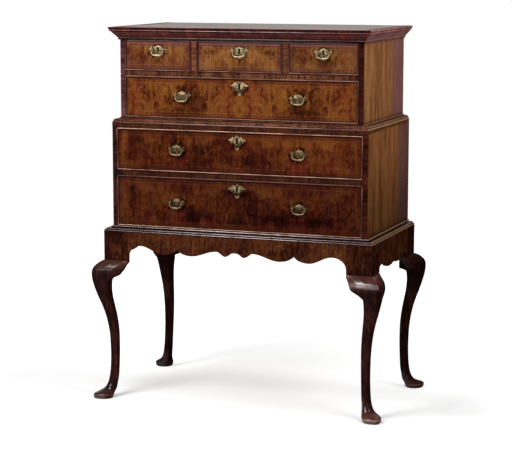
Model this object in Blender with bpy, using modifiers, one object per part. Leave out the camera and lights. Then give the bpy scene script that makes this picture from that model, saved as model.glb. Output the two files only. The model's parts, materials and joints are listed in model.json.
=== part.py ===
"""Chest of drawers on a stand with cabriole legs.

An upper case with three short drawers over a long one sits inside the waist moulding of a wider
lower case with two long drawers, and that case sits on a shaped stand. Metres, +Z up, the front
faces -Y, and the origin is on the floor below the middle of the stand.
"""
import math

import bmesh
import bpy
from mathutils import Matrix, Vector

# Fits
GAP = 0.0003
DRAWER_GAP = 0.0008
DRAWER_SIDE_PLAY = 0.0012
DRAWER_TOP_PLAY = 0.0040
FRONT_RECESS = 0.0010
PIN_PLAY = 0.00022

# Stand
STAND_W = 1.060
STAND_D = 0.5696
LEG_H = 0.5376
STAND_H = 0.1089
APRON_T = 0.016
CORNER_W = 0.098
POST_W = 0.052
POST_FOOT = 0.020
BACK_RAIL_H = 0.072
STAND_MOULD_H = 0.0203
LEDGE_T = 0.006
LEDGE_IN = 0.028
LEDGE_BACK_W = 0.050
BACK_BLOCK_SLOPE = 0.012

# The two cases
LOWER_STEP = 0.0269
UPPER_STEP = 0.0251
LOWER_RIM = 0.0245
STILE_W = 0.0190
BEAD_W = 0.0052
QUIRK = 0.0004
RAIL_FLAT = 0.0191
RAIL_D = 0.045
SIDE_T = 0.0205
STILE_D = 0.024
BOARD_T = 0.012
PANEL_T = 0.010
TOP_RAIL_D = 0.020
TOP_RAIL_LAP = 0.004
BOTTOM_SHOW = 0.0057
LONG_LOW_H = 0.1825
LONG_MID_H = 0.1490
LONG_TOP_H = 0.1450
SHORT_H = 0.1060
PARTITION_X = 0.1790
PARTITION_W = 0.0330
PARTITION_T = 0.0240
WAIST_H = 0.0195
CORNICE_H = 0.0475
CORNICE_OUT = 0.0340
CORNICE_DROP = 0.0040
EDGE_R = 0.0015
TUCK = 0.0010
TRIM = 0.0001
CUT_PAST = 0.010

# Drawers
FRONT_T = 0.019
BOX_SIDE_T = 0.009
BOX_BOTTOM_T = 0.007
BOX_BOTTOM_UP = 0.008
BOX_BACK_SPACE = 0.015
FRONT_EDGE = 0.0006
KEY_POCKET = 0.008

# Brasses
PLATE_T = 0.0018
POST_X = 0.0184
POST_UP = 0.0055
POST_OUT = 0.0085
POST_R = 0.0036
POST_NECK_R = 0.0025
POST_NECK_OUT = 0.0036
POST_BASE_R = 0.0040
POST_BASE_T = 0.0012
POST_STEPS = 10
PIN_R = 0.00145
BOW_R = 0.00225
BOW_END_R = 0.0018
PIN_IN = 0.0030
BAIL_HALF = 0.0243
BAIL_DROP = 0.0228
KEY_R = 0.0036
KEY_SLOT_W = 0.0044
KEY_SLOT_L = 0.0137

# Levels and planes that follow from the sizes
BACK = STAND_D / 2
STAND_TOP = LEG_H + STAND_H
LOWER_HW = STAND_W / 2 - LOWER_STEP
LOWER_FRONT = -BACK + LOWER_STEP
UPPER_HW = LOWER_HW - UPPER_STEP
UPPER_FRONT = LOWER_FRONT + UPPER_STEP
LOWER_Z0 = STAND_TOP + LEDGE_T + 2 * GAP
RAIL_H = RAIL_FLAT + 2 * BEAD_W
LONG_LOW_Z = STAND_TOP + STAND_MOULD_H + BOTTOM_SHOW
LOWER_RAIL_Z = LONG_LOW_Z + LONG_LOW_H
LONG_MID_Z = LOWER_RAIL_Z + RAIL_H
LONG_MID_TOP = LONG_MID_Z + LONG_MID_H
LOWER_TOP = LONG_MID_TOP + LOWER_RIM
UPPER_Z0 = LOWER_TOP + GAP
WAIST_TOP = LOWER_TOP + WAIST_H
LONG_TOP_Z = WAIST_TOP + BOTTOM_SHOW + GAP
UPPER_RAIL_Z = LONG_TOP_Z + LONG_TOP_H
SHORT_Z = UPPER_RAIL_Z + RAIL_H
SHORT_TOP = SHORT_Z + SHORT_H
CORNICE_Z0 = SHORT_TOP + CORNICE_DROP
TOP = CORNICE_Z0 + CORNICE_H
LOWER_OPEN = LOWER_HW - STILE_W - BEAD_W
UPPER_OPEN = UPPER_HW - STILE_W - BEAD_W

# Where the brasses sit: a handle's distance from the drawer's middle and its height above the
# opening's foot, and how far the escutcheon lies below the opening's top
SHORT_PLATE_DOWN = 0.0345
LONG_TOP_GRIP = (0.2285, 0.0775, 0.0305)
LONG_MID_GRIP = (0.2405, 0.0782, 0.0342)
LONG_LOW_GRIP = (0.2425, 0.0903, 0.0349)
KEY_UP = 0.0085
SCUTCHEON_KEY_UP = 0.0110

# Leg, in rows: height, how far its outer faces stand past the stand's planes, and half its
# thickness. The foot's heights start at the floor, the knee's hang from the leg's top, and the
# shin's are shares of the way from the foot to the knee.
LEG_FOOT = (
    (0.000, 0.0370, 0.0320),
    (0.004, 0.0405, 0.0350),
    (0.018, 0.0400, 0.0365),
    (0.024, 0.0300, 0.0325),
    (0.036, 0.0105, 0.0240),
    (0.055, -0.0005, 0.0195),
)
LEG_SHIN = (
    (0.09, -0.0072, 0.0179),
    (0.25, -0.0109, 0.0171),
    (0.43, -0.0109, 0.0175),
    (0.60, -0.0077, 0.0186),
    (0.75, -0.0004, 0.0200),
    (0.88, 0.0101, 0.0220),
)
LEG_KNEE = (
    (0.1426, 0.0230, 0.0253),
    (0.1076, 0.0328, 0.0292),
    (0.0776, 0.0396, 0.0335),
    (0.0476, 0.0418, 0.0365),
    (0.0306, 0.0380, 0.0375),
    (0.0176, 0.0285, 0.0375),
    (0.0076, 0.0165, 0.0370),
    (GAP, 0.0025, 0.0360),
)
# Rows with one more section halfway up to the next
SPLIT_ROWS = (3, 4, 6, 14)
# How square the section is at each share of the leg's height: 2 is a circle
LEG_SQUARE = ((0.0, 2.0), (0.19, 2.05), (0.46, 2.5), (0.67, 3.2), (0.86, 4.2), (1.0, 4.8))
LEG_SIDES = 20
TOE_OUT = 0.0070
TOE_TOP = 0.030

# Ear bracket: distance from the stand's corner, how far its lower edge hangs below the leg's top
# in front and behind, and its share of the knee's swell
EAR_STATIONS = (
    (0.010, 0.0916, 0.0876, 0.95),
    (0.026, 0.0806, 0.0766, 0.95),
    (0.040, 0.0696, 0.0656, 0.92),
    (0.053, 0.0626, 0.0576, 0.86),
    (0.064, 0.0586, 0.0496, 0.76),
    (0.074, 0.0536, 0.0396, 0.62),
    (0.081, 0.0436, 0.0296, 0.48),
    (0.087, 0.0296, 0.0196, 0.36),
    (0.093, 0.0196, 0.0116, 0.24),
    (0.0985, 0.0116, 0.0066, 0.14),
)
# The plain square-ended bracket along the back rail
BACK_EAR_STATIONS = (
    (0.010, 0.0816, 0.0816, 0.90),
    (0.030, 0.0706, 0.0706, 0.82),
    (0.042, 0.0666, 0.0666, 0.64),
    (0.050, 0.0646, 0.0646, 0.46),
    (0.056, 0.0636, 0.0636, 0.32),
)
EAR_BACK = 0.019
EAR_LIP = 0.003
EAR_ROWS = 7

# The back left leg of the original leans inwards: share of the lean at each share of its height
BACK_LEFT_LEAN = 0.0120
LEAN_SHARE = ((0.0, 0.0), (0.07, 0.02), (0.74, 0.95), (0.82, 1.0), (0.89, 0.90), (1.0, 0.25))


def clear_scene():
    for obj in list(bpy.data.objects):
        bpy.data.objects.remove(obj, do_unlink=True)


def new_collection(name):
    group = bpy.data.collections.new(name)
    bpy.context.scene.collection.children.link(group)
    return group


clear_scene()
PARTS = new_collection("chest_on_stand")
CUTTERS = new_collection("cutters")
CUTTERS.hide_render = True

# Colour, roughness and metallic of each finish
FINISH = {
    "veneer": ((0.250, 0.098, 0.030), 0.32, 0.0),
    "side": ((0.230, 0.100, 0.036), 0.36, 0.0),
    "moulding": ((0.150, 0.048, 0.022), 0.28, 0.0),
    "leg": ((0.120, 0.036, 0.016), 0.28, 0.0),
    "oak": ((0.360, 0.215, 0.105), 0.60, 0.0),
    "pine": ((0.330, 0.200, 0.100), 0.68, 0.0),
    "brass": ((0.560, 0.450, 0.240), 0.34, 1.0),
}


def finish_material(name, finish):
    colour, roughness, metallic = FINISH[finish]
    mat = bpy.data.materials.new(name)
    mat.use_nodes = True
    shader = mat.node_tree.nodes["Principled BSDF"]
    shader.inputs["Base Color"].default_value = (*colour, 1.0)
    shader.inputs["Roughness"].default_value = roughness
    shader.inputs["Metallic"].default_value = metallic
    mat.diffuse_color = (*colour, 1.0)
    return mat


def place(name, mesh, finish=None):
    """Puts a finished mesh in the part, or, without a finish, among the cutters."""
    obj = bpy.data.objects.new(name, mesh)
    if finish is None:
        CUTTERS.objects.link(obj)
        obj.hide_render = True
        obj.display_type = "WIRE"
    else:
        PARTS.objects.link(obj)
        mesh.materials.clear()
        mesh.materials.append(finish_material(name, finish))
    return obj


def tidy_mesh(name, bm, smooth=False):
    bmesh.ops.recalc_face_normals(bm, faces=bm.faces)
    for face in bm.faces:
        face.smooth = smooth
    mesh = bpy.data.meshes.new(name)
    bm.to_mesh(mesh)
    bm.free()
    return mesh


def box_mesh(name, low, high):
    low = Vector(low)
    high = Vector(high)
    bm = bmesh.new()
    bmesh.ops.create_cube(bm, size=1.0)
    size = high - low
    bmesh.ops.scale(bm, vec=size, verts=bm.verts)
    bmesh.ops.translate(bm, vec=(low + high) / 2, verts=bm.verts)
    return tidy_mesh(name, bm)


def box(name, low, high, finish=None):
    return place(name, box_mesh(name, low, high), finish)


AXES = {
    "X": Matrix(((0, 0, 1, 0), (1, 0, 0, 0), (0, 1, 0, 0), (0, 0, 0, 1))),
    "Y": Matrix(((1, 0, 0, 0), (0, 0, -1, 0), (0, 1, 0, 0), (0, 0, 0, 1))),
    "Z": Matrix.Identity(4),
}


def prism_mesh(name, outline, axis, start, end):
    """A flat outline run along an axis: Y and Z for X, X and Z for Y, X and Y for Z."""
    curve = bpy.data.curves.new(name + "_outline", "CURVE")
    curve.dimensions = "2D"
    curve.fill_mode = "BOTH"
    curve.extrude = abs(end - start) / 2
    spline = curve.splines.new("POLY")
    spline.points.add(len(outline) - 1)
    for point, (a, b) in zip(spline.points, outline):
        point.co = (a, b, 0.0, 1.0)
    spline.use_cyclic_u = True
    holder = bpy.data.objects.new(name + "_outline", curve)
    bpy.context.scene.collection.objects.link(holder)
    bpy.context.view_layer.update()
    graph = bpy.context.evaluated_depsgraph_get()
    raw = bpy.data.meshes.new_from_object(holder.evaluated_get(graph))
    bpy.data.objects.remove(holder, do_unlink=True)
    middle = (start + end) / 2
    shift = Matrix.Translation(Vector((0, 0, -middle if axis == "Y" else middle)))
    bm = bmesh.new()
    bm.from_mesh(raw)
    bpy.data.meshes.remove(raw)
    bmesh.ops.remove_doubles(bm, verts=bm.verts, dist=0.00001)
    bmesh.ops.transform(bm, matrix=AXES[axis] @ shift, verts=bm.verts)
    return tidy_mesh(name, bm)


def prism(name, outline, axis, start, end, finish=None):
    return place(name, prism_mesh(name, outline, axis, start, end), finish)


def loft_mesh(name, rings, smooth=True, smooth_sides=()):
    """Joins equal closed rings into one skin and closes both ends."""
    bm = bmesh.new()
    rows = [[bm.verts.new(point) for point in ring] for ring in rings]
    count = len(rows[0])
    for lower, upper in zip(rows, rows[1:]):
        for i in range(count):
            j = (i + 1) % count
            bm.faces.new((lower[i], lower[j], upper[j], upper[i]))
    bm.faces.new(rows[0][::-1])
    bm.faces.new(rows[-1])
    mesh = tidy_mesh(name, bm, smooth)
    for face in mesh.polygons:
        if face.index < count * (len(rows) - 1) and face.index % count in smooth_sides:
            face.use_smooth = True
    return mesh


def combine(obj, cutter, operation):
    step = obj.modifiers.new(cutter.name, "BOOLEAN")
    step.operation = operation
    step.solver = "EXACT"
    step.object = cutter


def soften(obj, width):
    step = obj.modifiers.new("edges", "BEVEL")
    step.width = width
    step.segments = 1
    step.limit_method = "ANGLE"
    step.angle_limit = math.radians(40)


def arc(cx, cy, radius, start, end, steps):
    """Points on an arc from one angle to another, in degrees."""
    points = []
    for i in range(steps + 1):
        angle = math.radians(start + (end - start) * i / steps)
        points.append((cx + radius * math.cos(angle), cy + radius * math.sin(angle)))
    return points


def smooth_line(points, steps):
    """A curve through the points, as short straight pieces."""
    result = []
    last = len(points) - 1
    for i in range(last):
        p0 = Vector(points[max(i - 1, 0)])
        p1 = Vector(points[i])
        p2 = Vector(points[i + 1])
        p3 = Vector(points[min(i + 2, last)])
        for k in range(steps):
            t = k / steps
            a = 2 * p1 + (p2 - p0) * t
            b = (2 * p0 - 5 * p1 + 4 * p2 - p3) * t * t
            c = (3 * p1 - p0 - 3 * p2 + p3) * t ** 3
            result.append(tuple((a + b + c) / 2))
    result.append(tuple(points[-1]))
    return result


def between(table, z):
    """Straight reading from a table of heights and values."""
    for (z0, v0), (z1, v1) in zip(table, table[1:]):
        if z <= z1:
            return v0 + (v1 - v0) * (z - z0) / (z1 - z0)
    return table[-1][1]


def cosine_run(start, end, steps, power=1.0):
    """A soft wave from one point to the next, level at both ends."""
    points = []
    for i in range(steps):
        t = i / steps
        rise = (1 - math.cos(math.pi * t ** power)) / 2
        points.append((start[0] + (end[0] - start[0]) * t, start[1] + (end[1] - start[1]) * rise))
    return points


def quarter_run(start, end, steps):
    """A quarter of an ellipse, level at the start and upright at the end."""
    points = []
    for i in range(steps):
        angle = math.pi / 2 * i / steps
        t = math.sin(angle)
        rise = 1 - math.cos(angle)
        points.append((start[0] + (end[0] - start[0]) * t, start[1] + (end[1] - start[1]) * rise))
    return points


# Front apron: its underside from the middle out to the corner block, all from the stand's middle
HOLLOW = (0.0, LEG_H + 0.0524)
DROP = (0.0362, LEG_H + 0.0372)
SMALL_ARCH = (0.0720, LEG_H + 0.0545)
INNER_LOBE = (0.1740, LEG_H + 0.0315)
CUSP = (0.2310, LEG_H + 0.0605)
OUTER_LOBE = (0.2890, LEG_H + 0.0311)
LEG_ARCH = (0.3790, LEG_H + 0.0592)
BLOCK = (STAND_W / 2 - CORNER_W, LEG_H + 0.0170)


def apron_half():
    line = cosine_run(HOLLOW, DROP, 5, 1.5)
    line += cosine_run(DROP, SMALL_ARCH, 5)
    line += cosine_run(SMALL_ARCH, INNER_LOBE, 7)
    line += quarter_run(INNER_LOBE, CUSP, 6)
    line.append(CUSP)
    line += quarter_run(OUTER_LOBE, CUSP, 6)[:0:-1]
    line += cosine_run(OUTER_LOBE, LEG_ARCH, 7)
    line += quarter_run(LEG_ARCH, BLOCK, 6)
    line += [BLOCK, (BLOCK[0], LEG_H)]
    return line


# Side rails: a shallower version, measured along Y from the stand's middle
SIDE_CUSP = (0.0, LEG_H + 0.0135)
SIDE_LOBE = (0.068, LEG_H + 0.0030)
SIDE_ARCH = (0.140, LEG_H + 0.0270)
SIDE_BLOCK = (STAND_D / 2 - CORNER_W, LEG_H + 0.0120)


def side_half():
    line = [SIDE_CUSP]
    line += quarter_run(SIDE_LOBE, SIDE_CUSP, 5)[:0:-1]
    line += cosine_run(SIDE_LOBE, SIDE_ARCH, 7)
    line += quarter_run(SIDE_ARCH, SIDE_BLOCK, 6)
    line += [SIDE_BLOCK, (SIDE_BLOCK[0], LEG_H)]
    return line


def build_stand_rails():
    half = apron_half()
    edge = [(x, z) for x, z in half] + [(STAND_W / 2, LEG_H), (STAND_W / 2, STAND_TOP)]
    mirrored = [(-x, z) for x, z in edge[:0:-1]]
    prism("front_apron", edge + mirrored, "Y", -BACK, -BACK + APRON_T, "veneer")
    start = -BACK + APRON_T + GAP
    side = side_half()
    back_part = [(y, z) for y, z in side] + [(BACK, LEG_H), (BACK, STAND_TOP)]
    front_part = [(start, STAND_TOP), (start, LEG_H)] + [(-y, z) for y, z in side[:0:-1]]
    outline = back_part + front_part
    for name, sign in (("left_side_rail", -1), ("right_side_rail", 1)):
        outer = sign * STAND_W / 2
        inner = sign * (STAND_W / 2 - APRON_T)
        prism(name, outline, "X", min(outer, inner), max(outer, inner), "side")
    reach = STAND_W / 2 - APRON_T - GAP
    block = reach - (CORNER_W - APRON_T)
    low = STAND_TOP - BACK_RAIL_H
    line = [(reach, STAND_TOP), (reach, LEG_H), (block, LEG_H), (block - BACK_BLOCK_SLOPE, low)]
    back = line + [(-x, z) for x, z in line[::-1]]
    prism("back_rail", back, "Y", BACK - APRON_T, BACK, "oak")


def leg_rows():
    """The leg's table with every height measured from the floor."""
    foot_top = LEG_FOOT[-1][0]
    shin = LEG_H - LEG_KNEE[0][0] - foot_top
    rows = list(LEG_FOOT)
    rows += [(foot_top + share * shin, out, half) for share, out, half in LEG_SHIN]
    rows += [(LEG_H - drop, out, half) for drop, out, half in LEG_KNEE]
    return rows


LEG_CURVE = leg_rows()


def leg_row(z):
    """Outer reach and half thickness of the leg at one height, on a smooth curve."""
    rows = LEG_CURVE
    index = 0
    while index < len(rows) - 2 and z > rows[index + 1][0]:
        index += 1
    z0 = rows[index][0]
    z1 = rows[index + 1][0]
    t = (z - z0) / (z1 - z0)
    values = []
    for k in (1, 2):
        before = rows[max(index - 1, 0)]
        after = rows[min(index + 2, len(rows) - 1)]
        m0 = (rows[index + 1][k] - before[k]) / (z1 - before[0])
        m1 = (after[k] - rows[index][k]) / (after[0] - z0)
        rise = z1 - z0
        h00 = 2 * t ** 3 - 3 * t ** 2 + 1
        h10 = t ** 3 - 2 * t ** 2 + t
        h01 = 3 * t ** 2 - 2 * t ** 3
        h11 = t ** 3 - t ** 2
        values.append(h00 * rows[index][k] + h10 * rise * m0 + h01 * rows[index + 1][k] + h11 * rise * m1)
    return values


def leg_ring(z):
    """One cross section in corner coordinates: square at the knee, round at the ankle."""
    out, half = leg_row(z)
    power = 2 / between(LEG_SQUARE, z / LEG_H)
    toe = TOE_OUT * max(0.0, min(1.0, (TOE_TOP - z) / 0.010))
    ring = []
    for i in range(LEG_SIDES):
        angle = 2 * math.pi * (i + 0.5) / LEG_SIDES
        c = math.cos(angle)
        s = math.sin(angle)
        u = math.copysign(abs(c) ** power, c) * half
        v = math.copysign(abs(s) ** power, s) * half
        along = max(0.0, (c + s) / math.sqrt(2)) ** 8
        stretch = toe * along / math.sqrt(2)
        ring.append((out - half + u + stretch, out - half + v + stretch, z))
    return ring


def ear_rings(stations):
    """Cross sections of a bracket beside the knee, from inside the leg outwards."""
    top = LEG_H - GAP
    rings = []
    for distance, under, behind, share in stations:
        ring = [(-distance, -EAR_BACK, LEG_H - behind), (-distance, -EAR_BACK, top)]
        for k in range(EAR_ROWS):
            z = top - (under - GAP) * k / (EAR_ROWS - 1)
            swell = leg_row(z)[0] * share
            if k == EAR_ROWS - 1:
                swell = max(swell - EAR_LIP, 0.0)
            ring.append((-distance, swell, z))
        rings.append(ring)
    return rings


def corner_place(points, sx, sy):
    """Corner coordinates to the object's own, for the corner with the given signs."""
    return [(sx * (STAND_W / 2 + u), sy * (BACK + v), z) for u, v, z in points]


def leg_heights():
    heights = [row[0] for row in LEG_CURVE]
    split = [(heights[i] + heights[i + 1]) / 2 for i in SPLIT_ROWS]
    return sorted(heights + split)


def leaned(points, sx, lean):
    """Points moved towards the stand's middle by the lean at their height."""
    return [(x - sx * lean * between(LEAN_SHARE, z / LEG_H), y, z) for x, y, z in points]


def build_leg(name, sx, sy, lean=0.0):
    """A leg with its post and a bracket along each rail; the one along the back rail is plain."""
    rings = [leaned(corner_place(leg_ring(z), sx, sy), sx, lean) for z in leg_heights()]
    leg = place(name, loft_mesh(name, rings), "leg")
    side = [[(v, u, z) for u, v, z in ring] for ring in ear_rings(EAR_STATIONS)]
    face = ear_rings(EAR_STATIONS if sy < 0 else BACK_EAR_STATIONS)
    for label, rows in (("_side_ear", side), ("_face_ear", face)):
        rings = [leaned(corner_place(row, sx, sy), sx, lean) for row in rows]
        mesh = loft_mesh(name + label, rings, False, range(2, EAR_ROWS + 1))
        combine(leg, place(name + label, mesh), "UNION")
    inner = APRON_T + GAP
    a = (-inner - POST_W, -inner - POST_W, LEG_H - POST_FOOT)
    b = (-inner, -inner, STAND_TOP)
    p, q = corner_place((a, b), sx, sy)
    low = [min(p[i], q[i]) for i in range(3)]
    high = [max(p[i], q[i]) for i in range(3)]
    combine(leg, box(name + "_post", low, high), "UNION")
    return leg


def sweep_mesh(name, profile, half_width, front, back):
    """A moulding round both sides and the front, mitred at the two front corners."""
    rings = []
    rings.append([(-half_width - o, back, z) for o, z in profile])
    rings.append([(-half_width - o, front - o, z) for o, z in profile])
    rings.append([(half_width + o, front - o, z) for o, z in profile])
    rings.append([(half_width + o, back, z) for o, z in profile])
    return loft_mesh(name, rings, False)


def cyma(start, end, steps):
    """The S curve of a moulding, from one point to the other."""
    points = []
    for i in range(1, steps):
        t = i / steps
        out = (1 - math.cos(math.pi * t)) / 2
        mix = 0.45 * t + 0.55 * out
        points.append((start[0] + (end[0] - start[0]) * mix, start[1] + (end[1] - start[1]) * t))
    return points


def ovolo(start, end, steps, fullness):
    """A convex quarter, upright where it starts below and level where it ends above."""
    points = []
    for i in range(1, steps):
        angle = math.pi / 2 * i / steps
        out = end[0] + (start[0] - end[0]) * math.cos(angle) ** fullness
        points.append((out, start[1] + (end[1] - start[1]) * math.sin(angle) ** fullness))
    return points


def build_mouldings():
    base = STAND_TOP + GAP
    crest = STAND_TOP + STAND_MOULD_H
    edge = LOWER_STEP
    profile = [(-LEDGE_IN, base), (edge, base), (edge, base + 0.0006)]
    profile += arc(edge - 0.0030, base + 0.0036, 0.0030, -70, 80, 5)
    profile += [(edge - 0.0040, base + 0.0068), (edge - 0.0050, base + 0.0072)]
    profile += ovolo((edge - 0.0050, base + 0.0072), (0.0062, crest - 0.0040), 7, 0.85)
    profile += [(0.0062, crest - 0.0040), (0.0052, crest - 0.0044)]
    profile += arc(0.0026, crest - 0.0021, 0.0021, -60, 90, 5)
    profile += [(GAP, crest), (GAP, base + LEDGE_T), (-LEDGE_IN, base + LEDGE_T)]
    mesh = sweep_mesh("stand_moulding", profile, LOWER_HW, LOWER_FRONT, BACK)
    moulding = place("stand_moulding", mesh, "moulding")
    reach = LOWER_HW - LEDGE_IN + 0.002
    strip = box("stand_ledge_back", (-reach, BACK - LEDGE_BACK_W, base), (reach, BACK, base + LEDGE_T))
    combine(moulding, strip, "UNION")

    low = LOWER_TOP + GAP
    outer = UPPER_STEP
    profile = [(GAP, low), (outer - 0.0012, low)]
    profile += arc(outer - 0.0020, low + 0.0022, 0.0022, -60, 70, 5)
    profile += [(outer - 0.0018, low + 0.0046), (outer - 0.0024, low + 0.0052)]
    profile += ovolo((outer - 0.0024, low + 0.0052), (0.0040, WAIST_TOP - 0.0028), 8, 0.8)
    profile += [(0.0040, WAIST_TOP - 0.0028), (0.0026, WAIST_TOP - 0.0024)]
    profile += [(0.0026, WAIST_TOP), (GAP, WAIST_TOP)]
    mesh = sweep_mesh("waist_moulding", profile, UPPER_HW, UPPER_FRONT, BACK)
    place("waist_moulding", mesh, "moulding")

    low = CORNICE_Z0
    profile = [(GAP, low), (0.0030, low)]
    profile += arc(0.0034, low + 0.0028, 0.0026, -90, 90, 6)
    profile += [(0.0070, low + 0.0066), (0.0070, low + 0.0092), (0.0086, low + 0.0092)]
    profile += cyma((0.0086, low + 0.0092), (CORNICE_OUT - 0.0062, low + 0.0335), 9)
    profile += [(CORNICE_OUT - 0.0062, low + 0.0335), (CORNICE_OUT - 0.0036, low + 0.0345)]
    profile += [(CORNICE_OUT - 0.0036, low + 0.0378), (CORNICE_OUT, low + 0.0392)]
    profile += [(CORNICE_OUT, low + CORNICE_H - 0.0008), (CORNICE_OUT - 0.0008, low + CORNICE_H)]
    profile += [(GAP, low + CORNICE_H)]
    mesh = sweep_mesh("cornice", profile, UPPER_HW, UPPER_FRONT, BACK)
    place("cornice", mesh, "moulding")


def bead(edge, plane, step):
    """A half-round bead from an edge along a face; step is 1 or -1, the way it runs."""
    middle = edge + step * BEAD_W / 2
    base = plane - QUIRK
    start = 180 if step > 0 else 0
    line = [(a, 2 * base - b) for a, b in arc(middle, base, BEAD_W / 2, start, 180 - start, 6)]
    return line + [(edge + step * (BEAD_W + QUIRK), plane)]


def side_outline(half_width, front, opening):
    """Plan of a right-hand case side with its stile and bead."""
    line = [(opening, front + STILE_D)]
    line += bead(opening, front, 1)
    line += [(half_width - EDGE_R, front)]
    line += arc(half_width - EDGE_R, front + EDGE_R, EDGE_R, -60, 0, 2)
    line += [(half_width, BACK), (half_width - SIDE_T, BACK)]
    line += [(half_width - SIDE_T, front + STILE_D)]
    return line


def rail_outline(front, low, high, depth, board_low, board_high, back):
    """Section of a rail with a bead on both edges and the board behind it."""
    low_bead = [(b, a) for a, b in bead(low, front, 1)]
    high_bead = [(b, a) for a, b in bead(high, front, -1)][::-1]
    line = low_bead + high_bead
    line += [(back, board_high), (back, board_low), (front + depth, board_low)]
    line += [(front + depth, low)]
    return line


def build_case_sides():
    """The sides, with their beads trimmed off where the mouldings lie over them."""
    plans = (
        ("lower_side", LOWER_HW, LOWER_FRONT, LOWER_OPEN, LOWER_Z0, LOWER_TOP - BOARD_T - GAP,
         STAND_TOP + STAND_MOULD_H + GAP, LONG_MID_TOP + BEAD_W + QUIRK),
        ("upper_side", UPPER_HW, UPPER_FRONT, UPPER_OPEN, UPPER_Z0, TOP - 2 * GAP - BOARD_T,
         WAIST_TOP + GAP, CORNICE_Z0 - GAP),
    )
    for name, half_width, front, opening, low, high, show_low, show_high in plans:
        right = side_outline(half_width, front, opening)
        left = [(-x, y) for x, y in right[::-1]]
        for hand, outline, sign in (("_right", right, 1), ("_left", left, -1)):
            board = prism(name + hand, outline, "Z", low, high, "side")
            edges = sorted((sign * (opening - TUCK), sign * (half_width + TUCK)))
            for label, z0, z1 in (("_foot", low - TUCK, show_low), ("_head", show_high, high + TUCK)):
                trim = box(name + hand + label, (edges[0], front - CUT_PAST, z0),
                           (edges[1], front - TRIM, z1))
                combine(board, trim, "DIFFERENCE")


def build_case_boards():
    """Bottoms, rails with their dust boards, tops and backs of both cases."""
    back = BACK - PANEL_T - GAP
    plans = (
        ("lower", LOWER_HW, LOWER_FRONT, LOWER_Z0, LONG_LOW_Z, LOWER_RAIL_Z),
        ("upper", UPPER_HW, UPPER_FRONT, UPPER_Z0, LONG_TOP_Z, UPPER_RAIL_Z),
    )
    for name, half_width, front, low, open_low, rail_low in plans:
        reach = half_width - SIDE_T - GAP
        opening = half_width - STILE_W - BEAD_W - GAP
        top_bead = [(b, a) for a, b in bead(open_low, front, -1)][::-1]
        section = [(front, low)] + top_bead
        section += [(back, open_low), (back, open_low - BOARD_T), (front + RAIL_D, open_low - BOARD_T)]
        section += [(front + RAIL_D, low)]
        bottom = prism(name + "_bottom", section, "X", -reach, reach, "oak")
        notch_ends(bottom, reach, opening, front, low - CUT_PAST, open_low + CUT_PAST)
        rail = rail_outline(front, rail_low, rail_low + RAIL_H, RAIL_D, rail_low + RAIL_H - BOARD_T,
                            rail_low + RAIL_H, back)
        divider = prism(name + "_divider", rail, "X", -reach, reach, "veneer")
        notch_ends(divider, reach, opening, front, rail_low - CUT_PAST, rail_low + RAIL_H + CUT_PAST)


def notch_ends(obj, reach, opening, front, low, high):
    """Clears the ends of a board where the stiles pass in front of it."""
    for side, sign in (("left", -1), ("right", 1)):
        edges = sorted((sign * opening, sign * (reach + CUT_PAST)))
        cutter = box(obj.name + "_notch_" + side, (edges[0], front - CUT_PAST, low),
                     (edges[1], front + STILE_D + GAP, high))
        combine(obj, cutter, "DIFFERENCE")


def build_case_tops():
    low = LONG_MID_TOP
    top = box_mesh("lower_top", (-LOWER_HW, LOWER_FRONT, LOWER_TOP - BOARD_T), (LOWER_HW, BACK, LOWER_TOP))
    lower = place("lower_top", top, "oak")
    reach = LOWER_OPEN - GAP
    section = [(b, a) for a, b in bead(low, LOWER_FRONT, 1)]
    lap = LOWER_TOP - TOP_RAIL_LAP
    section += [(LOWER_FRONT, lap), (LOWER_FRONT + TOP_RAIL_D, lap)]
    section += [(LOWER_FRONT + TOP_RAIL_D, low)]
    combine(lower, prism("lower_top_rail", section, "X", -reach, reach), "UNION")

    roof = TOP - GAP
    top = box_mesh("upper_top", (-UPPER_HW, UPPER_FRONT, roof - BOARD_T), (UPPER_HW, BACK, roof))
    upper = place("upper_top", top, "oak")
    reach = UPPER_OPEN - GAP
    rail = box("upper_top_rail", (-reach, UPPER_FRONT, SHORT_TOP),
               (reach, UPPER_FRONT + TOP_RAIL_D, roof - TOP_RAIL_LAP))
    combine(upper, rail, "UNION")


def build_backs():
    plans = (
        ("lower_back", LOWER_HW, LOWER_Z0, LOWER_TOP - BOARD_T - GAP),
        ("upper_back", UPPER_HW, UPPER_Z0, TOP - 2 * GAP - BOARD_T),
    )
    for name, half_width, low, high in plans:
        reach = half_width - SIDE_T - GAP
        box(name, (-reach, BACK - PANEL_T, low), (reach, BACK, high), "pine")


def build_partitions():
    low = SHORT_Z + GAP
    high = SHORT_TOP - GAP
    roof = TOP - 2 * GAP - BOARD_T
    back = BACK - PANEL_T - GAP
    front = UPPER_FRONT
    for name, x in (("partition_left", -PARTITION_X), ("partition_right", PARTITION_X)):
        a = x - PARTITION_W / 2
        b = x + PARTITION_W / 2
        line = bead(a, front, 1) + bead(b, front, -1)[::-1]
        line += [(b, front + STILE_D), (x + PARTITION_T / 2, front + STILE_D + TUCK)]
        line += [(x + PARTITION_T / 2, back), (x - PARTITION_T / 2, back)]
        line += [(x - PARTITION_T / 2, front + STILE_D + TUCK), (a, front + STILE_D)]
        board = prism(name, line, "Z", low, high, "veneer")
        half = PARTITION_T / 2 - TUCK
        upper = box(name + "_upper", (x - half, front + STILE_D + 2 * TUCK, high - 0.004),
                    (x + half, back - TUCK, roof))
        combine(board, upper, "UNION")


def keyhole_outline(x, z):
    """A round hole with the slot for the key's bit below it."""
    half = KEY_SLOT_W / 2
    start = math.degrees(math.asin(half / KEY_R))
    line = arc(x, z, KEY_R, -90 + start, 270 - start, 12)
    line += [(x - half, z - KEY_SLOT_L), (x + half, z - KEY_SLOT_L)]
    return line


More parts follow.
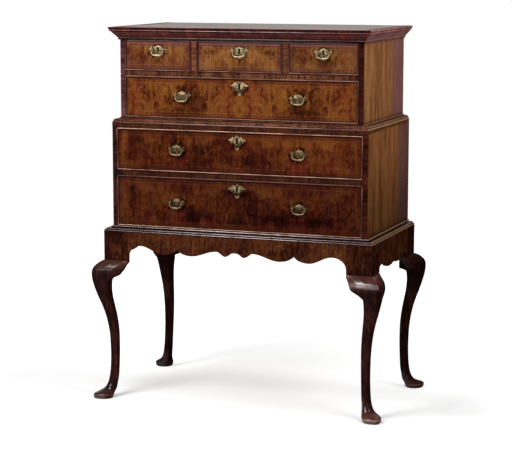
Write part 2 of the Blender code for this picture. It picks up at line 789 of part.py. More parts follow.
# Half outlines of the brasses, from the top point round to the lowest one
PLATE_HALF = (
    (0.0, 0.0215), (0.0045, 0.0172), (0.0105, 0.0158), (0.0170, 0.0128), (0.0205, 0.0082),
    (0.0232, 0.0094), (0.0262, 0.0150), (0.0305, 0.0098), (0.0362, 0.0038), (0.0305, 0.0014),
    (0.0292, -0.0062), (0.0222, -0.0040), (0.0205, -0.0110), (0.0160, -0.0190), (0.0085, -0.0226),
    (0.0, -0.0252),
)
SCUTCHEON_HALF = (
    (0.0, 0.0300), (0.0036, 0.0242), (0.0086, 0.0222), (0.0120, 0.0178), (0.0165, 0.0212),
    (0.0212, 0.0160), (0.0278, 0.0118), (0.0352, 0.0072), (0.0268, 0.0030), (0.0226, -0.0046),
    (0.0166, -0.0060), (0.0158, -0.0122), (0.0092, -0.0172), (0.0070, -0.0240), (0.0, -0.0306),
)


def brass_outline(half):
    line = [(max(a, 0.0), b) for a, b in smooth_line(half, 2)]
    return (line + [(-a, b) for a, b in line[-2:0:-1]])[::-1]


def turned_post(name, x, y, z):
    """A small baluster post standing out of the plate, its axis along Y."""
    outer = -POST_OUT
    profile = [(0.0, outer - POST_R)]
    for degrees in (38, 80, 122):
        angle = math.radians(degrees)
        profile.append((POST_R * math.sin(angle), outer - POST_R * math.cos(angle)))
    profile += [(POST_NECK_R, -POST_NECK_OUT), (POST_BASE_R, -POST_BASE_T), (POST_BASE_R, PLATE_T / 2)]
    mesh = bpy.data.meshes.new(name)
    verts = [(r, 0.0, -h) for r, h in profile] + [(0.0, 0.0, -PLATE_T / 2)]
    edges = [(i, i + 1) for i in range(len(verts) - 1)]
    mesh.from_pydata(verts, edges, [])
    obj = place(name, mesh)
    turn = obj.modifiers.new("turned", "SCREW")
    turn.angle = math.radians(360)
    turn.steps = POST_STEPS
    turn.render_steps = POST_STEPS
    turn.use_merge_vertices = True
    turn.merge_threshold = 0.00001
    turn.use_smooth_shade = True
    obj.rotation_euler = (math.radians(90), 0, 0)
    obj.location = (x, y, z)
    return obj


def build_plate(name, x, face, z, keyhole):
    """One backplate with its two posts bored for the bail's pins, made round its own middle."""
    middle = Vector((x, face - GAP - PLATE_T, z))
    plate = prism(name, brass_outline(PLATE_HALF), "Y", 0.0, PLATE_T, "brass")
    plate.location = middle
    for side, sign in (("left", -1), ("right", 1)):
        post = turned_post(name + "_post_" + side, x + sign * POST_X, middle.y, z + POST_UP)
        combine(plate, post, "UNION")
    bore = arc(-POST_OUT, POST_UP, PIN_R + PIN_PLAY, 11, 326, 7)
    hole = prism(name + "_bore", bore, "X", -POST_X - CUT_PAST, POST_X + CUT_PAST)
    hole.location = middle
    combine(plate, hole, "DIFFERENCE")
    if keyhole:
        cut = prism(name + "_keyhole", keyhole_outline(0.0, KEY_UP), "Y", -CUT_PAST, PLATE_T + CUT_PAST)
        cut.location = middle
        combine(plate, cut, "DIFFERENCE")
    return middle + Vector((0.0, -POST_OUT, POST_UP))


def bail_points():
    """Centre line of the bail: a pin, a tight turn and half of the hanging bow."""
    points = [(POST_X - PIN_IN, 0.0, PIN_R), (POST_X + POST_R + 0.0006, 0.0, PIN_R)]
    points += [(BAIL_HALF - 0.0009, -0.0005, (PIN_R + BOW_END_R) / 2), (BAIL_HALF, -0.0020, BOW_END_R)]
    for i in range(1, 8):
        angle = math.pi / 2 * i / 7
        x = BAIL_HALF * math.cos(angle) ** 0.6 if i < 7 else 0.0
        swell = 0.0008 * math.sin(2 * angle)
        z = -0.0020 - (BAIL_DROP - 0.0020) * math.sin(angle) ** 0.9
        thick = BOW_END_R + (BOW_R - BOW_END_R) * math.sin(angle)
        points.append((x + swell, z, thick))
    return points


def build_bail(name, pivot):
    half = bail_points()
    full = [(-x, z, r) for x, z, r in half] + [(x, z, r) for x, z, r in half[-2::-1]]
    curve = bpy.data.curves.new(name, "CURVE")
    curve.dimensions = "3D"
    curve.bevel_depth = 1.0
    curve.bevel_resolution = 1
    curve.use_fill_caps = True
    spline = curve.splines.new("POLY")
    spline.points.add(len(full) - 1)
    for point, (x, z, radius) in zip(spline.points, full):
        point.co = (x, 0.0, z, 1.0)
        point.radius = radius
    holder = bpy.data.objects.new(name + "_wire", curve)
    bpy.context.scene.collection.objects.link(holder)
    bpy.context.view_layer.update()
    graph = bpy.context.evaluated_depsgraph_get()
    raw = bpy.data.meshes.new_from_object(holder.evaluated_get(graph))
    bpy.data.objects.remove(holder, do_unlink=True)
    bm = bmesh.new()
    bm.from_mesh(raw)
    bpy.data.meshes.remove(raw)
    bmesh.ops.remove_doubles(bm, verts=bm.verts, dist=0.00001)
    obj = place(name, tidy_mesh(name, bm, True), "brass")
    obj.location = pivot
    return obj


def build_drawer(name, x, half, front, low, height, depth):
    """A drawer front and the open box behind it."""
    face = front + FRONT_RECESS
    reach = half - DRAWER_GAP
    board = box(name + "_front", (x - reach, face, low + DRAWER_GAP),
                (x + reach, face + FRONT_T, low + height - DRAWER_GAP), "veneer")
    soften(board, FRONT_EDGE)
    reach = half - DRAWER_SIDE_PLAY
    y0 = face + FRONT_T + GAP
    y1 = y0 + depth
    z0 = low + GAP
    z1 = low + height - DRAWER_TOP_PLAY
    body = box(name + "_box", (x - reach, y0, z0), (x + reach, y1, z1), "oak")
    inner = reach - BOX_SIDE_T
    floor = z0 + BOX_BOTTOM_UP + BOX_BOTTOM_T
    room = box(name + "_room", (x - inner, y0 - CUT_PAST, floor),
               (x + inner, y1 - BOX_SIDE_T, z1 + CUT_PAST))
    under = box(name + "_under", (x - inner, y0 - CUT_PAST, z0 - CUT_PAST),
                (x + inner, y1 + CUT_PAST, z0 + BOX_BOTTOM_UP))
    combine(body, room, "DIFFERENCE")
    combine(body, under, "DIFFERENCE")
    return board, face


def cut_key_pocket(board, x, face, z):
    outline = keyhole_outline(x, z)
    cutter = prism(board.name + "_key_pocket", outline, "Y", face - CUT_PAST, face + KEY_POCKET)
    combine(board, cutter, "DIFFERENCE")


def build_short_drawers():
    inner = PARTITION_X - PARTITION_W / 2
    outer = PARTITION_X + PARTITION_W / 2
    wing = (UPPER_OPEN - outer) / 2
    middle = (UPPER_OPEN + outer) / 2
    depth = BACK - PANEL_T - BOX_BACK_SPACE - (UPPER_FRONT + FRONT_RECESS + FRONT_T)
    spots = (
        ("short_drawer_left", -middle, wing),
        ("short_drawer_centre", 0.0, inner),
        ("short_drawer_right", middle, wing),
    )
    for name, x, half in spots:
        board, face = build_drawer(name, x, half, UPPER_FRONT, SHORT_Z, SHORT_H, depth)
        z = SHORT_TOP - SHORT_PLATE_DOWN
        cut_key_pocket(board, x, face, z + KEY_UP)
        label = name.replace("short_drawer_", "short_")
        pivot = build_plate(label + "_plate", x, face, z, True)
        build_bail(label + "_bail", pivot)


def build_long_drawers():
    spots = (
        ("long_upper", UPPER_OPEN, UPPER_FRONT, LONG_TOP_Z, LONG_TOP_H, LONG_TOP_GRIP),
        ("long_middle", LOWER_OPEN, LOWER_FRONT, LONG_MID_Z, LONG_MID_H, LONG_MID_GRIP),
        ("long_lower", LOWER_OPEN, LOWER_FRONT, LONG_LOW_Z, LONG_LOW_H, LONG_LOW_GRIP),
    )
    for name, half, front, low, height, (grip_x, grip_z, key_drop) in spots:
        depth = BACK - PANEL_T - BOX_BACK_SPACE - (front + FRONT_RECESS + FRONT_T)
        board, face = build_drawer(name + "_drawer", 0.0, half, front, low, height, depth)
        z = low + height - key_drop
        cut_key_pocket(board, 0.0, face, z + SCUTCHEON_KEY_UP)
        middle = (0.0, face - GAP - PLATE_T, z)
        plate = prism(name + "_escutcheon", brass_outline(SCUTCHEON_HALF), "Y", 0.0, PLATE_T, "brass")
        plate.location = middle
        outline = keyhole_outline(0.0, SCUTCHEON_KEY_UP)
        cut = prism(name + "_escutcheon_hole", outline, "Y", -CUT_PAST, PLATE_T + CUT_PAST)
        cut.location = middle
        combine(plate, cut, "DIFFERENCE")
        for side, sign in (("left", -1), ("right", 1)):
            pivot = build_plate(name + "_plate_" + side, sign * grip_x, face, low + grip_z, False)
            build_bail(name + "_bail_" + side, pivot)


build_stand_rails()
build_leg("leg_front_left", -1, -1)
build_leg("leg_front_right", 1, -1)
build_leg("leg_back_left", -1, 1, BACK_LEFT_LEAN)
build_leg("leg_back_right", 1, 1)
build_mouldings()
build_case_sides()
build_case_boards()
build_case_tops()
build_backs()
build_partitions()
build_short_drawers()
build_long_drawers()
bpy.context.view_layer.update()
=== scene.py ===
"""Looks of the chest of drawers on a stand, laid out as a Blender add-on and run as a script."""
import json
import math

import bmesh
import bpy
from mathutils import Matrix, Vector


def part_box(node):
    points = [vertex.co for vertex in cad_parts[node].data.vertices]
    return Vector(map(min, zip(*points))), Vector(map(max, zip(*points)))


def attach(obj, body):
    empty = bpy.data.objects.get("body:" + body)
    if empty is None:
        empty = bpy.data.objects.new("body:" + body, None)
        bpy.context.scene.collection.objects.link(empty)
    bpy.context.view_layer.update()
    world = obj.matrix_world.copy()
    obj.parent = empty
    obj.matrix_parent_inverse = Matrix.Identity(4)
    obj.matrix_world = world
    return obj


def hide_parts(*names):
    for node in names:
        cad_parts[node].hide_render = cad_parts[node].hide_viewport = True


bl_info = {
    "name": "Chest on stand looks",
    "version": (1, 0, 0),
    "blender": (4, 5, 0),
    "location": "3D View > Sidebar > Chest",
    "description": "Veneers, carved legs, mouldings and brasses for a chest of drawers on a stand",
    "category": "Object",
}

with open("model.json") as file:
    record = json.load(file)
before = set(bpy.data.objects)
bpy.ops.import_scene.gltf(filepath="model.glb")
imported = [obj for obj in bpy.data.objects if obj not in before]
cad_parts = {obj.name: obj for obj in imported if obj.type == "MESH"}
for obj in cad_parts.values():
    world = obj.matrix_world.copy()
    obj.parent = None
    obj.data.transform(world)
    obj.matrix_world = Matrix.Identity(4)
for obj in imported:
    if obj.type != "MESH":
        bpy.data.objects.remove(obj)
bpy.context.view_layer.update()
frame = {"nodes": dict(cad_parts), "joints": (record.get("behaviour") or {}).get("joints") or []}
APRON_LOW, APRON_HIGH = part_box("front_apron")
LOWER_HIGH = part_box("lower_top")[1]
UPPER_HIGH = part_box("upper_top")[1]
FRONT_RECESS = 0.001
LOWER_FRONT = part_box("long_lower_drawer_front")[0].y - FRONT_RECESS
UPPER_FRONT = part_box("long_upper_drawer_front")[0].y - FRONT_RECESS
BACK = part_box("back_rail")[1].y
STAND_HALF = APRON_HIGH.x
LEG_TOP = APRON_LOW.z
RAIL_T = APRON_HIGH.y - APRON_LOW.y
GAP = 0.0003


# ---------------------------------------------------------------- node trees

def operation(kind, swapped=False):
    """A method of Value that makes one math node."""
    def method(self, *others):
        return self.graph.math(kind, *((*others, self) if swapped else (self, *others)))
    return method


class Value:
    """An output socket of a node tree, with the sums that node trees are built from."""

    def __init__(self, graph, socket):
        self.graph = graph
        self.socket = socket

    __add__ = operation("ADD")
    __radd__ = operation("ADD", True)
    __sub__ = operation("SUBTRACT")
    __rsub__ = operation("SUBTRACT", True)
    __mul__ = operation("MULTIPLY")
    __abs__ = operation("ABSOLUTE")
    least = operation("MINIMUM")
    above = operation("GREATER_THAN")
    below = operation("LESS_THAN")
    fold = operation("PINGPONG")
    floor = operation("FLOOR")
    sine = operation("SINE")

    def most(self, *others):
        value = self
        for other in others:
            value = self.graph.math("MAXIMUM", value, other)
        return value

    def spread(self, amount):
        """How far the value lies from a half, times an amount."""
        return (self - 0.5) * amount

    def band(self, low, high):
        """0 below low and 1 above high, with a soft change between; high may lie below low."""
        ends = (high, low, 1.0, 0.0) if high < low else (low, high, 0.0, 1.0)
        values = dict(zip(("From Min", "From Max", "To Min", "To Max"), ends), Value=self)
        return self.graph.made("ShaderNodeMapRange", "Result", values, interpolation_type="SMOOTHSTEP",
                               clamp=True)

    def split(self):
        node = self.graph.node("ShaderNodeSeparateXYZ", {0: self})
        return [Value(self.graph, out) for out in node.outputs]


class Graph:
    """Short ways to add the nodes of one tree."""

    def __init__(self, tree):
        self.tree = tree

    def put(self, socket, value):
        if isinstance(value, Value):
            self.tree.links.new(value.socket, socket)
        elif socket.type == "RGBA" and len(value) == 3:
            socket.default_value = (*value, 1.0)
        else:
            socket.default_value = value

    def node(self, kind, values=(), **settings):
        """A new node with its settings and then its inputs, by name or number."""
        node = self.tree.nodes.new(kind)
        for key, value in settings.items():
            setattr(node, key, value)
        for key, value in dict(values).items():
            self.put(node.inputs[key], value)
        return node

    def made(self, kind, output, values=(), **settings):
        return Value(self, self.node(kind, values, **settings).outputs[output])

    def outputs(self, kind, values=(), **settings):
        node = self.node(kind, values, **settings)
        return {out.name: Value(self, out) for out in node.outputs}

    def math(self, kind, *values):
        return self.made("ShaderNodeMath", 0, enumerate(values), operation=kind)

    def vector(self, kind, *values):
        return self.made("ShaderNodeVectorMath", 0, enumerate(values), operation=kind)

    def length(self, vector):
        return self.made("ShaderNodeVectorMath", "Value", {0: vector}, operation="LENGTH")

    def join(self, *values):
        return self.made("ShaderNodeCombineXYZ", 0, enumerate(values))

    def noise(self, vector, scale, detail=2.0, rough=0.5, distortion=0.0):
        return self.made("ShaderNodeTexNoise", "Fac", {"Vector": vector, "Scale": scale, "Detail": detail,
                                                       "Roughness": rough, "Distortion": distortion})

    def random(self, value):
        return self.made("ShaderNodeTexWhiteNoise", "Value", {"W": value}, noise_dimensions="1D")

    def mix(self, factor, a, b):
        return self.made("ShaderNodeMix", 0, {0: factor, 2: a, 3: b}, data_type="FLOAT")

    def tint(self, factor, a, b, blend="MIX"):
        return self.made("ShaderNodeMix", 2, {0: factor, 6: a, 7: b}, data_type="RGBA", blend_type=blend)

    def bump(self, height, distance, strength=1.0):
        return self.made("ShaderNodeBump", "Normal",
                         {"Distance": distance, "Strength": strength, "Height": height})

    def ramp(self, value, stops):
        node = self.node("ShaderNodeValToRGB", {0: value})
        ends = node.color_ramp.elements
        while len(ends) < len(stops):
            ends.new(0.5)
        for stop, (place, colour) in zip(ends, stops):
            stop.position = place
            stop.color = (*colour, 1.0)
        return Value(self, node.outputs[0])

    def use(self, name, **values):
        """The outputs of a shared group, which is built when it is first asked for."""
        tree = bpy.data.node_groups.get(name) or make_group(name, *GROUPS[name])
        return self.outputs("ShaderNodeGroup", values, node_tree=tree)


def make_group(name, defaults, build):
    """A shader node group with an input for each default and an output for each result of build."""
    tree = bpy.data.node_groups.new(name, "ShaderNodeTree")

    def add(label, way, is_vector):
        kind = "NodeSocketVector" if is_vector else "NodeSocketFloat"
        return tree.interface.new_socket(name=label, in_out=way, socket_type=kind)

    for label, default in defaults.items():
        add(label, "INPUT", isinstance(default, tuple)).default_value = default
    g = Graph(tree)
    given = g.outputs("NodeGroupInput")
    results = build(g, *(given[label] for label in defaults))
    for label, value in results.items():
        add(label, "OUTPUT", value.socket.type == "VECTOR")
    g.node("NodeGroupOutput", results)
    return tree


def build_walnut(g, vector, shift, figure, streaks):
    """Figure, streaks, flecks and pores of walnut whose grain runs along Z."""
    place = g.vector("ADD", vector, shift)

    def layer(tall, scale, detail=2.0, rough=0.5, distortion=0.0):
        return g.noise(g.vector("MULTIPLY", place, (1, 1, tall)), scale, detail, rough, distortion)

    broad = layer(0.8, 11.0, 2.0, 0.5, 0.8)
    mottle = layer(0.75, 42.0, 4.0, 0.62, 1.2)
    flame = layer(0.30, 130.0, 3.0, 0.6, 0.8)
    streak = layer(0.05, 190.0, 3.0, 0.65)
    pores = layer(0.06, 1100.0, 2.0, 0.6).band(0.60, 0.70)
    fleck = layer(0.6, 150.0).band(0.60, 0.70)
    grain = broad.spread(1.0) + mottle.spread(1.25) + flame.spread(0.70) + fleck * -0.14
    tone = 0.5 + grain * figure + streak.spread(1.0) * streaks - pores * 0.06
    return {"Tone": tone, "Height": streak * 0.5 + pores * -0.6 + mottle * 0.3, "Red": layer(0.4, 14.0)}


def build_face(g, vector, half, leaf_width, cross_width, feather_width):
    """Lays out a drawer front: mirrored leaves, a feather line and a crossband round the edge."""
    x, y, z = vector.split()
    half_x, _, half_z = half.split()
    from_side = half_x - abs(x)
    from_end = half_z - abs(z)
    edge = from_side.least(from_end)
    upright = from_side.below(from_end)
    leaf = x.fold(leaf_width)
    inner = cross_width + feather_width
    cross = edge.below(cross_width)
    border = edge.below(inner)
    feather = border - cross
    grains = {0: cross * upright, 4: g.join(leaf, y, z), 5: g.join(z + 0.7, y, x)}
    grain = g.made("ShaderNodeMix", 1, grains, data_type="VECTOR")
    away = abs(edge - (cross_width + feather_width * 0.5))
    ribs = ((g.mix(upright, x, z) + away) * (2 * math.pi / FEATHER_PITCH)).sine()
    line_out, line_in = (abs(edge - at).band(0.0007, 0.0002) for at in (cross_width, inner))
    seam = abs(leaf - leaf_width).least(abs(leaf)).band(0.0008, 0.0002) * (1.0 - border)
    return {"Grain": grain, "Cross": cross, "Feather": feather, "Ribs": feather * ribs,
            "Lines": line_out.most(line_in, seam), "Edge": edge}


def build_spot(g, vector, centre, size, ragged):
    """A soft patch round a point, with a ragged rim."""
    away = g.vector("DIVIDE", g.vector("SUBTRACT", vector, centre), size)
    reach = g.length(away) + g.noise(vector, 38.0, 3.0, 0.6).spread(ragged)
    return {"Mask": reach.band(1.15, 0.55)}


def build_wear(g, vector, gloss):
    """Dirt in a broad pattern, fine scratches and rubbed patches."""
    dirt = g.noise(vector, 16.0, 4.0, 0.65).band(0.50, 0.72)
    rubbed = g.noise(vector, 5.0, 3.0, 0.6, 0.5).band(0.50, 0.70)
    scratch = g.noise(g.vector("MULTIPLY", vector, (0.15, 1.0, 1.0)), 420.0, 1.0).band(0.68, 0.74)
    smear = g.noise(vector, 60.0, 3.0, 0.6)
    return {"Dirt": dirt, "Rubbed": rubbed,
            "Roughness": gloss + smear.spread(0.22) + rubbed * 0.05 + scratch * 0.08}


FEATHER_PITCH = 0.0032
ZERO = (0.0, 0.0, 0.0)
TENTH = (0.1, 0.1, 0.1)
GROUPS = {
    "walnut figure": ({"Vector": ZERO, "Shift": ZERO, "Figure": 1.0, "Streaks": 0.5}, build_walnut),
    "drawer face": ({"Vector": ZERO, "Half": TENTH, "Leaf": 0.2, "Cross": 0.015, "Feather": 0.005},
                    build_face),
    "spot": ({"Vector": ZERO, "Centre": ZERO, "Size": TENTH, "Ragged": 1.0}, build_spot),
    "wear": ({"Vector": ZERO, "Gloss": 0.4}, build_wear),
}


# ---------------------------------------------------------------- finishes

DARK_LINE = (0.010, 0.004, 0.003)
GRIME = (0.014, 0.006, 0.004)
BLACK = (0.003, 0.002, 0.002)
# Painted shade: near-black for the quirks of the mouldings and beads and the lines under their members.
QUIRK_SHADE = (0.0030, 0.0012, 0.0012)
# Painted highlight: cream lines along the mouldings' side faces.
SIDE_HIGHLIGHT_CREAM = (0.600, 0.370, 0.220)
# Painted sheen laid over the mouldings' side faces: tan on the stand and waist mouldings, pink on the
# cornice.
TAN_SIDE_SHEEN = (0.240, 0.140, 0.085)
PINK_SIDE_SHEEN = (0.300, 0.160, 0.160)
COVE_WARMTH = (0.110, 0.034, 0.028)
# Painted highlight across the front of the front right knee.
KNEE_HIGHLIGHT = (0.520, 0.330, 0.350)
# Painted highlight along the rim of the front feet's pads.
TOE_HIGHLIGHT = (0.420, 0.300, 0.270)
# Painted sheen along the top of the upper case's sides.
SIDE_TOP_SHEEN = (0.210, 0.085, 0.060)
LOWER_RED = (0.95, 0.54, 1.00)
LOWER_GOLD = (1.16, 1.04, 0.75)
RIM_LEVEL = {"short": (1.0, 1.0, 1.0), "upper": (0.95, 0.75, 0.40), "lower": (0.55, 0.42, 0.25)}
# Dark rings round a brass, partly old polish and partly a painted shadow of the brass: half width, half
# height and how much darker.
HALOS = ((0.042, 0.034, 0.16), (0.034, 0.027, 0.40))
LOSS_PLACE = (-0.480, -0.2579, 0.8640)
LOSS_SIZE = (0.0260, 0.0300, 0.0240)
LOSS_COLOUR = (0.008, 0.008, 0.007)
CROSS_PIECE = 0.085
MOULDING_PIECE = 0.075
BEAD_PIECE = 0.21
RAIL_DEPTH = 0.045
WHOLE_LEAF = 0.6
PLANK_W = 0.152
TAIL_PITCH = 0.034
TAIL_LENGTH = 0.0140
CORNER_BLOCK = 0.100
TOP_SEAM_Y = 0.02


def scale_colour(colour, factors):
    return tuple(a * b for a, b in zip(colour, factors))


def shades(looks, prefix, level=1.0):
    """The stops of a wood's colour ramp, all times one level or three."""
    factors = level if isinstance(level, tuple) else (level,) * 3
    dark, mid, light = (scale_colour(getattr(looks, prefix + "_" + shade), factors) for shade in SHADES)
    return ((0.0, scale_colour(dark, (0.35,) * 3)), (0.28, dark), (0.52, mid), (0.85, light))


def dress(node, material):
    """Gives a CAD node its finish."""
    mesh = frame["nodes"][node].data
    if not mesh.materials:
        mesh.materials.append(material)
    for index in range(len(mesh.materials)):
        mesh.materials[index] = material


class Finish:
    """A material in the making: its graph, the place on the object in metres, the colour so far."""

    def __init__(self, looks, name, gloss=None):
        self.looks = looks
        self.material = bpy.data.materials.new(name)
        self.material.use_nodes = True
        self.g = Graph(self.material.node_tree)
        self.place = self.g.made("ShaderNodeTexCoord", "Object")
        self.x, self.y, self.z = self.place.split()
        if gloss is not None:
            self.wear = self.g.use("wear", Vector=self.place, Gloss=gloss)

    def normal(self, kind="Normal"):
        return self.g.made("ShaderNodeNewGeometry", kind).split()

    def walnut(self, vector, shift, figure, streaks):
        return self.g.use("walnut figure", Vector=vector, Shift=shift, Figure=figure, Streaks=streaks)

    def long_walnut(self, tall, shift, figure, streaks):
        """Walnut whose figure is drawn out along Z."""
        return self.walnut(self.g.vector("MULTIPLY", self.place, (1, 1, tall)), shift, figure, streaks)

    def crossgrain(self, length, shift, figure, streaks, axis="x"):
        """Short pieces of crossgrain walnut side by side along a member: wood, tone and joints."""
        g = self.g
        along = getattr(self, axis)
        wobble = g.noise(g.join(along * 3.0, 0.0, shift), 2.0, 0.0)
        count = along * (1.0 / length) + wobble.spread(3.0)
        chance = g.random(count.floor() + shift)
        moved = g.vector("ADD", self.place, g.join(0.0, chance * 3.0, shift))
        if axis == "z":
            a, b, c = g.vector("MULTIPLY", moved, (0.12, 1.0, 1.0)).split()
            moved = g.join(c, b, a)
        wood = self.walnut(moved, (shift, 0, 0), figure, streaks)
        return wood, wood["Tone"] + chance.spread(0.20), count.fold(0.5).band(0.010, 0.003)

    def ramp(self, tone, prefix, level=1.0):
        self.colour = self.g.ramp(tone, shades(self.looks, prefix, level))

    def lay(self, mask, shade, blend="MIX"):
        """Lays a shade over the colour so far, as far as the mask lets it."""
        self.colour = self.g.tint(mask, self.colour, shade, blend)

    def bead_edge(self, front):
        """The dark bead that stands before the front of a stile, and dirt."""
        self.lay(self.y.band(front + 0.0001, front - 0.0003) * 0.7, self.looks.bead)
        self.lay(self.wear["Dirt"] * 0.35, GRIME)

    def loss(self):
        """The small patch at the lower left where the veneer is gone."""
        spot = self.g.use("spot", Vector=self.place, Centre=LOSS_PLACE, Size=LOSS_SIZE, Ragged=0.5)
        self.lay(spot["Mask"] * 0.92, LOSS_COLOUR)

    def set(self, **values):
        """Sets inputs of the shader and gives the material."""
        shader = self.material.node_tree.nodes["Principled BSDF"]
        for label, value in values.items():
            self.g.put(shader.inputs[label.replace("_", " ")], value)
        return self.material

    def seal(self, height, depth, coat=0.0, coat_rough=0.1, level=0.0):
        """Sets a wood's shader from the colour, the wear and the height, with a coat kept off dirt."""
        if coat:
            self.set(Coat_Weight=(1.0 - self.wear["Dirt"] * 0.6) * coat, Coat_Roughness=coat_rough)
        return self.set(Base_Color=self.colour, Roughness=self.wear["Roughness"],
                        Normal=self.g.bump(height, depth), Specular_IOR_Level=level)


def plates_of(drawer):
    """Nodes of a drawer's brasses; the last one has the keyhole."""
    label = drawer.replace("_drawer", "")
    if label.startswith("short"):
        return (label + "_plate",)
    return (label + "_plate_left", label + "_plate_right", label + "_escutcheon")


def key_height(drawer):
    """Height of the middle of a drawer's keyhole."""
    half, up = (PLATE_HALF, KEY_UP) if drawer.startswith("short") else (SCUTCHEON_HALF, SCUTCHEON_KEY_UP)
    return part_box(plates_of(drawer)[-1])[0].z - half[-1][1] + up - KEY_SLOT_L / 2


def veneer_finish(looks, sizes, drawer, prefix, shift, figure, strength, spots):
    """Figured walnut with crossband, feather line and dark marks, for one drawer front."""
    node = drawer + "_front"
    short = prefix == "short"
    f = Finish(looks, node, 0.45)
    low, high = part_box(node)
    middle = (low + high) / 2
    local = f.g.vector("SUBTRACT", f.place, tuple(middle))
    face = f.g.use("drawer face", Vector=local, Half=tuple((high - low) / 2),
                   Leaf=WHOLE_LEAF if short else sizes.leaf, Cross=sizes.crossband, Feather=sizes.feather)
    wood = f.walnut(face["Grain"], shift, figure, 0.6)
    marks = [(x / 1000, z / 1000, wide / 1000, tall / 1000, depth / 100)
             for x, z, wide, tall, depth in spots]
    # Dark rings round each brass: old polish and a painted shadow of the brass.
    for a, b in (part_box(plate) for plate in plates_of(drawer)):
        marks += [((a.x + b.x) / 2 - middle.x, (a.z + b.z) / 2 - middle.z, *halo) for halo in HALOS]
    tone = wood["Tone"]
    for x, z, wide, tall, depth in marks:
        spot = f.g.use("spot", Vector=local, Centre=(x, 0, z), Size=(wide, 1, tall), Ragged=1.6)
        tone = tone - spot["Mask"] * depth
    tone = tone - face["Cross"] * 0.06 + face["Ribs"] * 0.10 + face["Feather"] * 0.14
    f.ramp(tone, prefix, strength)
    red, gold = (LOWER_RED, LOWER_GOLD) if prefix == "lower" else (looks.red_wash, looks.gold_wash)
    f.lay(wood["Red"].band(0.48, 0.66) * 0.9, red, "MULTIPLY")
    f.lay(wood["Red"].band(0.50, 0.36) * 0.9, gold, "MULTIPLY")
    # Near the edges a reddish-purple cast: partly the crossband's own colour, partly a painted sheen;
    # weaker on the lower rows.
    cloud = f.g.noise(f.place, 13.0, 2.0, 0.5).band(0.35, 0.62)
    rim = face["Edge"].band(0.032, 0.004) * (0.4 + cloud * 0.6)
    f.lay(rim * (0.60 if short else 0.55), scale_colour(looks.rim, RIM_LEVEL[prefix]))
    # Painted sheen: a lilac band along the top of the small drawers.
    if short:
        f.lay(f.z.band(high.z - 0.013, high.z - 0.005) * 0.65, looks.sheen)
    f.lay(face["Lines"] * 0.35, (0.012, 0.004, 0.002))
    # Painted shade: a dark line round the front's edge, in the gap by the bead.
    f.lay(face["Edge"].band(0.0038, 0.0008) * 0.75, DARK_LINE)
    f.lay(f.y.band(low.y + 0.0030, low.y + 0.0032), looks.oak_mid)
    # Painted shade: black inside the keyhole's pocket.
    f.lay(abs(f.x - middle.x).band(0.0078, 0.0074) * abs(f.z - key_height(drawer)).band(0.0150, 0.0145)
          * f.y.band(low.y + 0.0090, low.y + 0.0085), BLACK)
    f.loss()
    return f.seal(wood["Height"] - face["Lines"] * 0.7, 0.00025)


def rail_finish(looks, name, front, shift, level, side_half=None):
    """Crossgrain face, dark beads with painted shade in the shallow recess behind the front, and an oak
    board behind, told apart by their depth.
    """
    f = Finish(looks, name, 0.40)
    y = f.y
    wood, tone, joint = f.crossgrain(CROSS_PIECE, shift, 1.6, 1.6)
    f.ramp(tone, "rail", level)
    f.lay(joint * 0.45, DARK_LINE)
    f.lay(y.band(front + 0.0006, front - 0.0002) * 0.7, looks.bead)
    # Painted shade in the shallow recess behind the front.
    groove = y.band(front + 0.0028, front + 0.0004) * y.band(front + 0.00002, front + 0.0001)
    f.lay(groove * 0.8, (0.008, 0.004, 0.003))
    f.lay(f.wear["Dirt"] * 0.35, GRIME)
    f.lay(y.band(front + RAIL_DEPTH, front + RAIL_DEPTH + 0.002), looks.oak_mid)
    if side_half:
        grain = f.long_walnut(0.35, (0, shift, 0), 0.45, 2.2)
        outer = f.g.ramp(grain["Tone"], shades(looks, "side", 0.45))
        f.lay(abs(f.x).band(side_half - 0.0012, side_half - 0.0004), outer)
    f.loss()
    return f.seal(wood["Height"] + joint * -0.6, 0.0003)


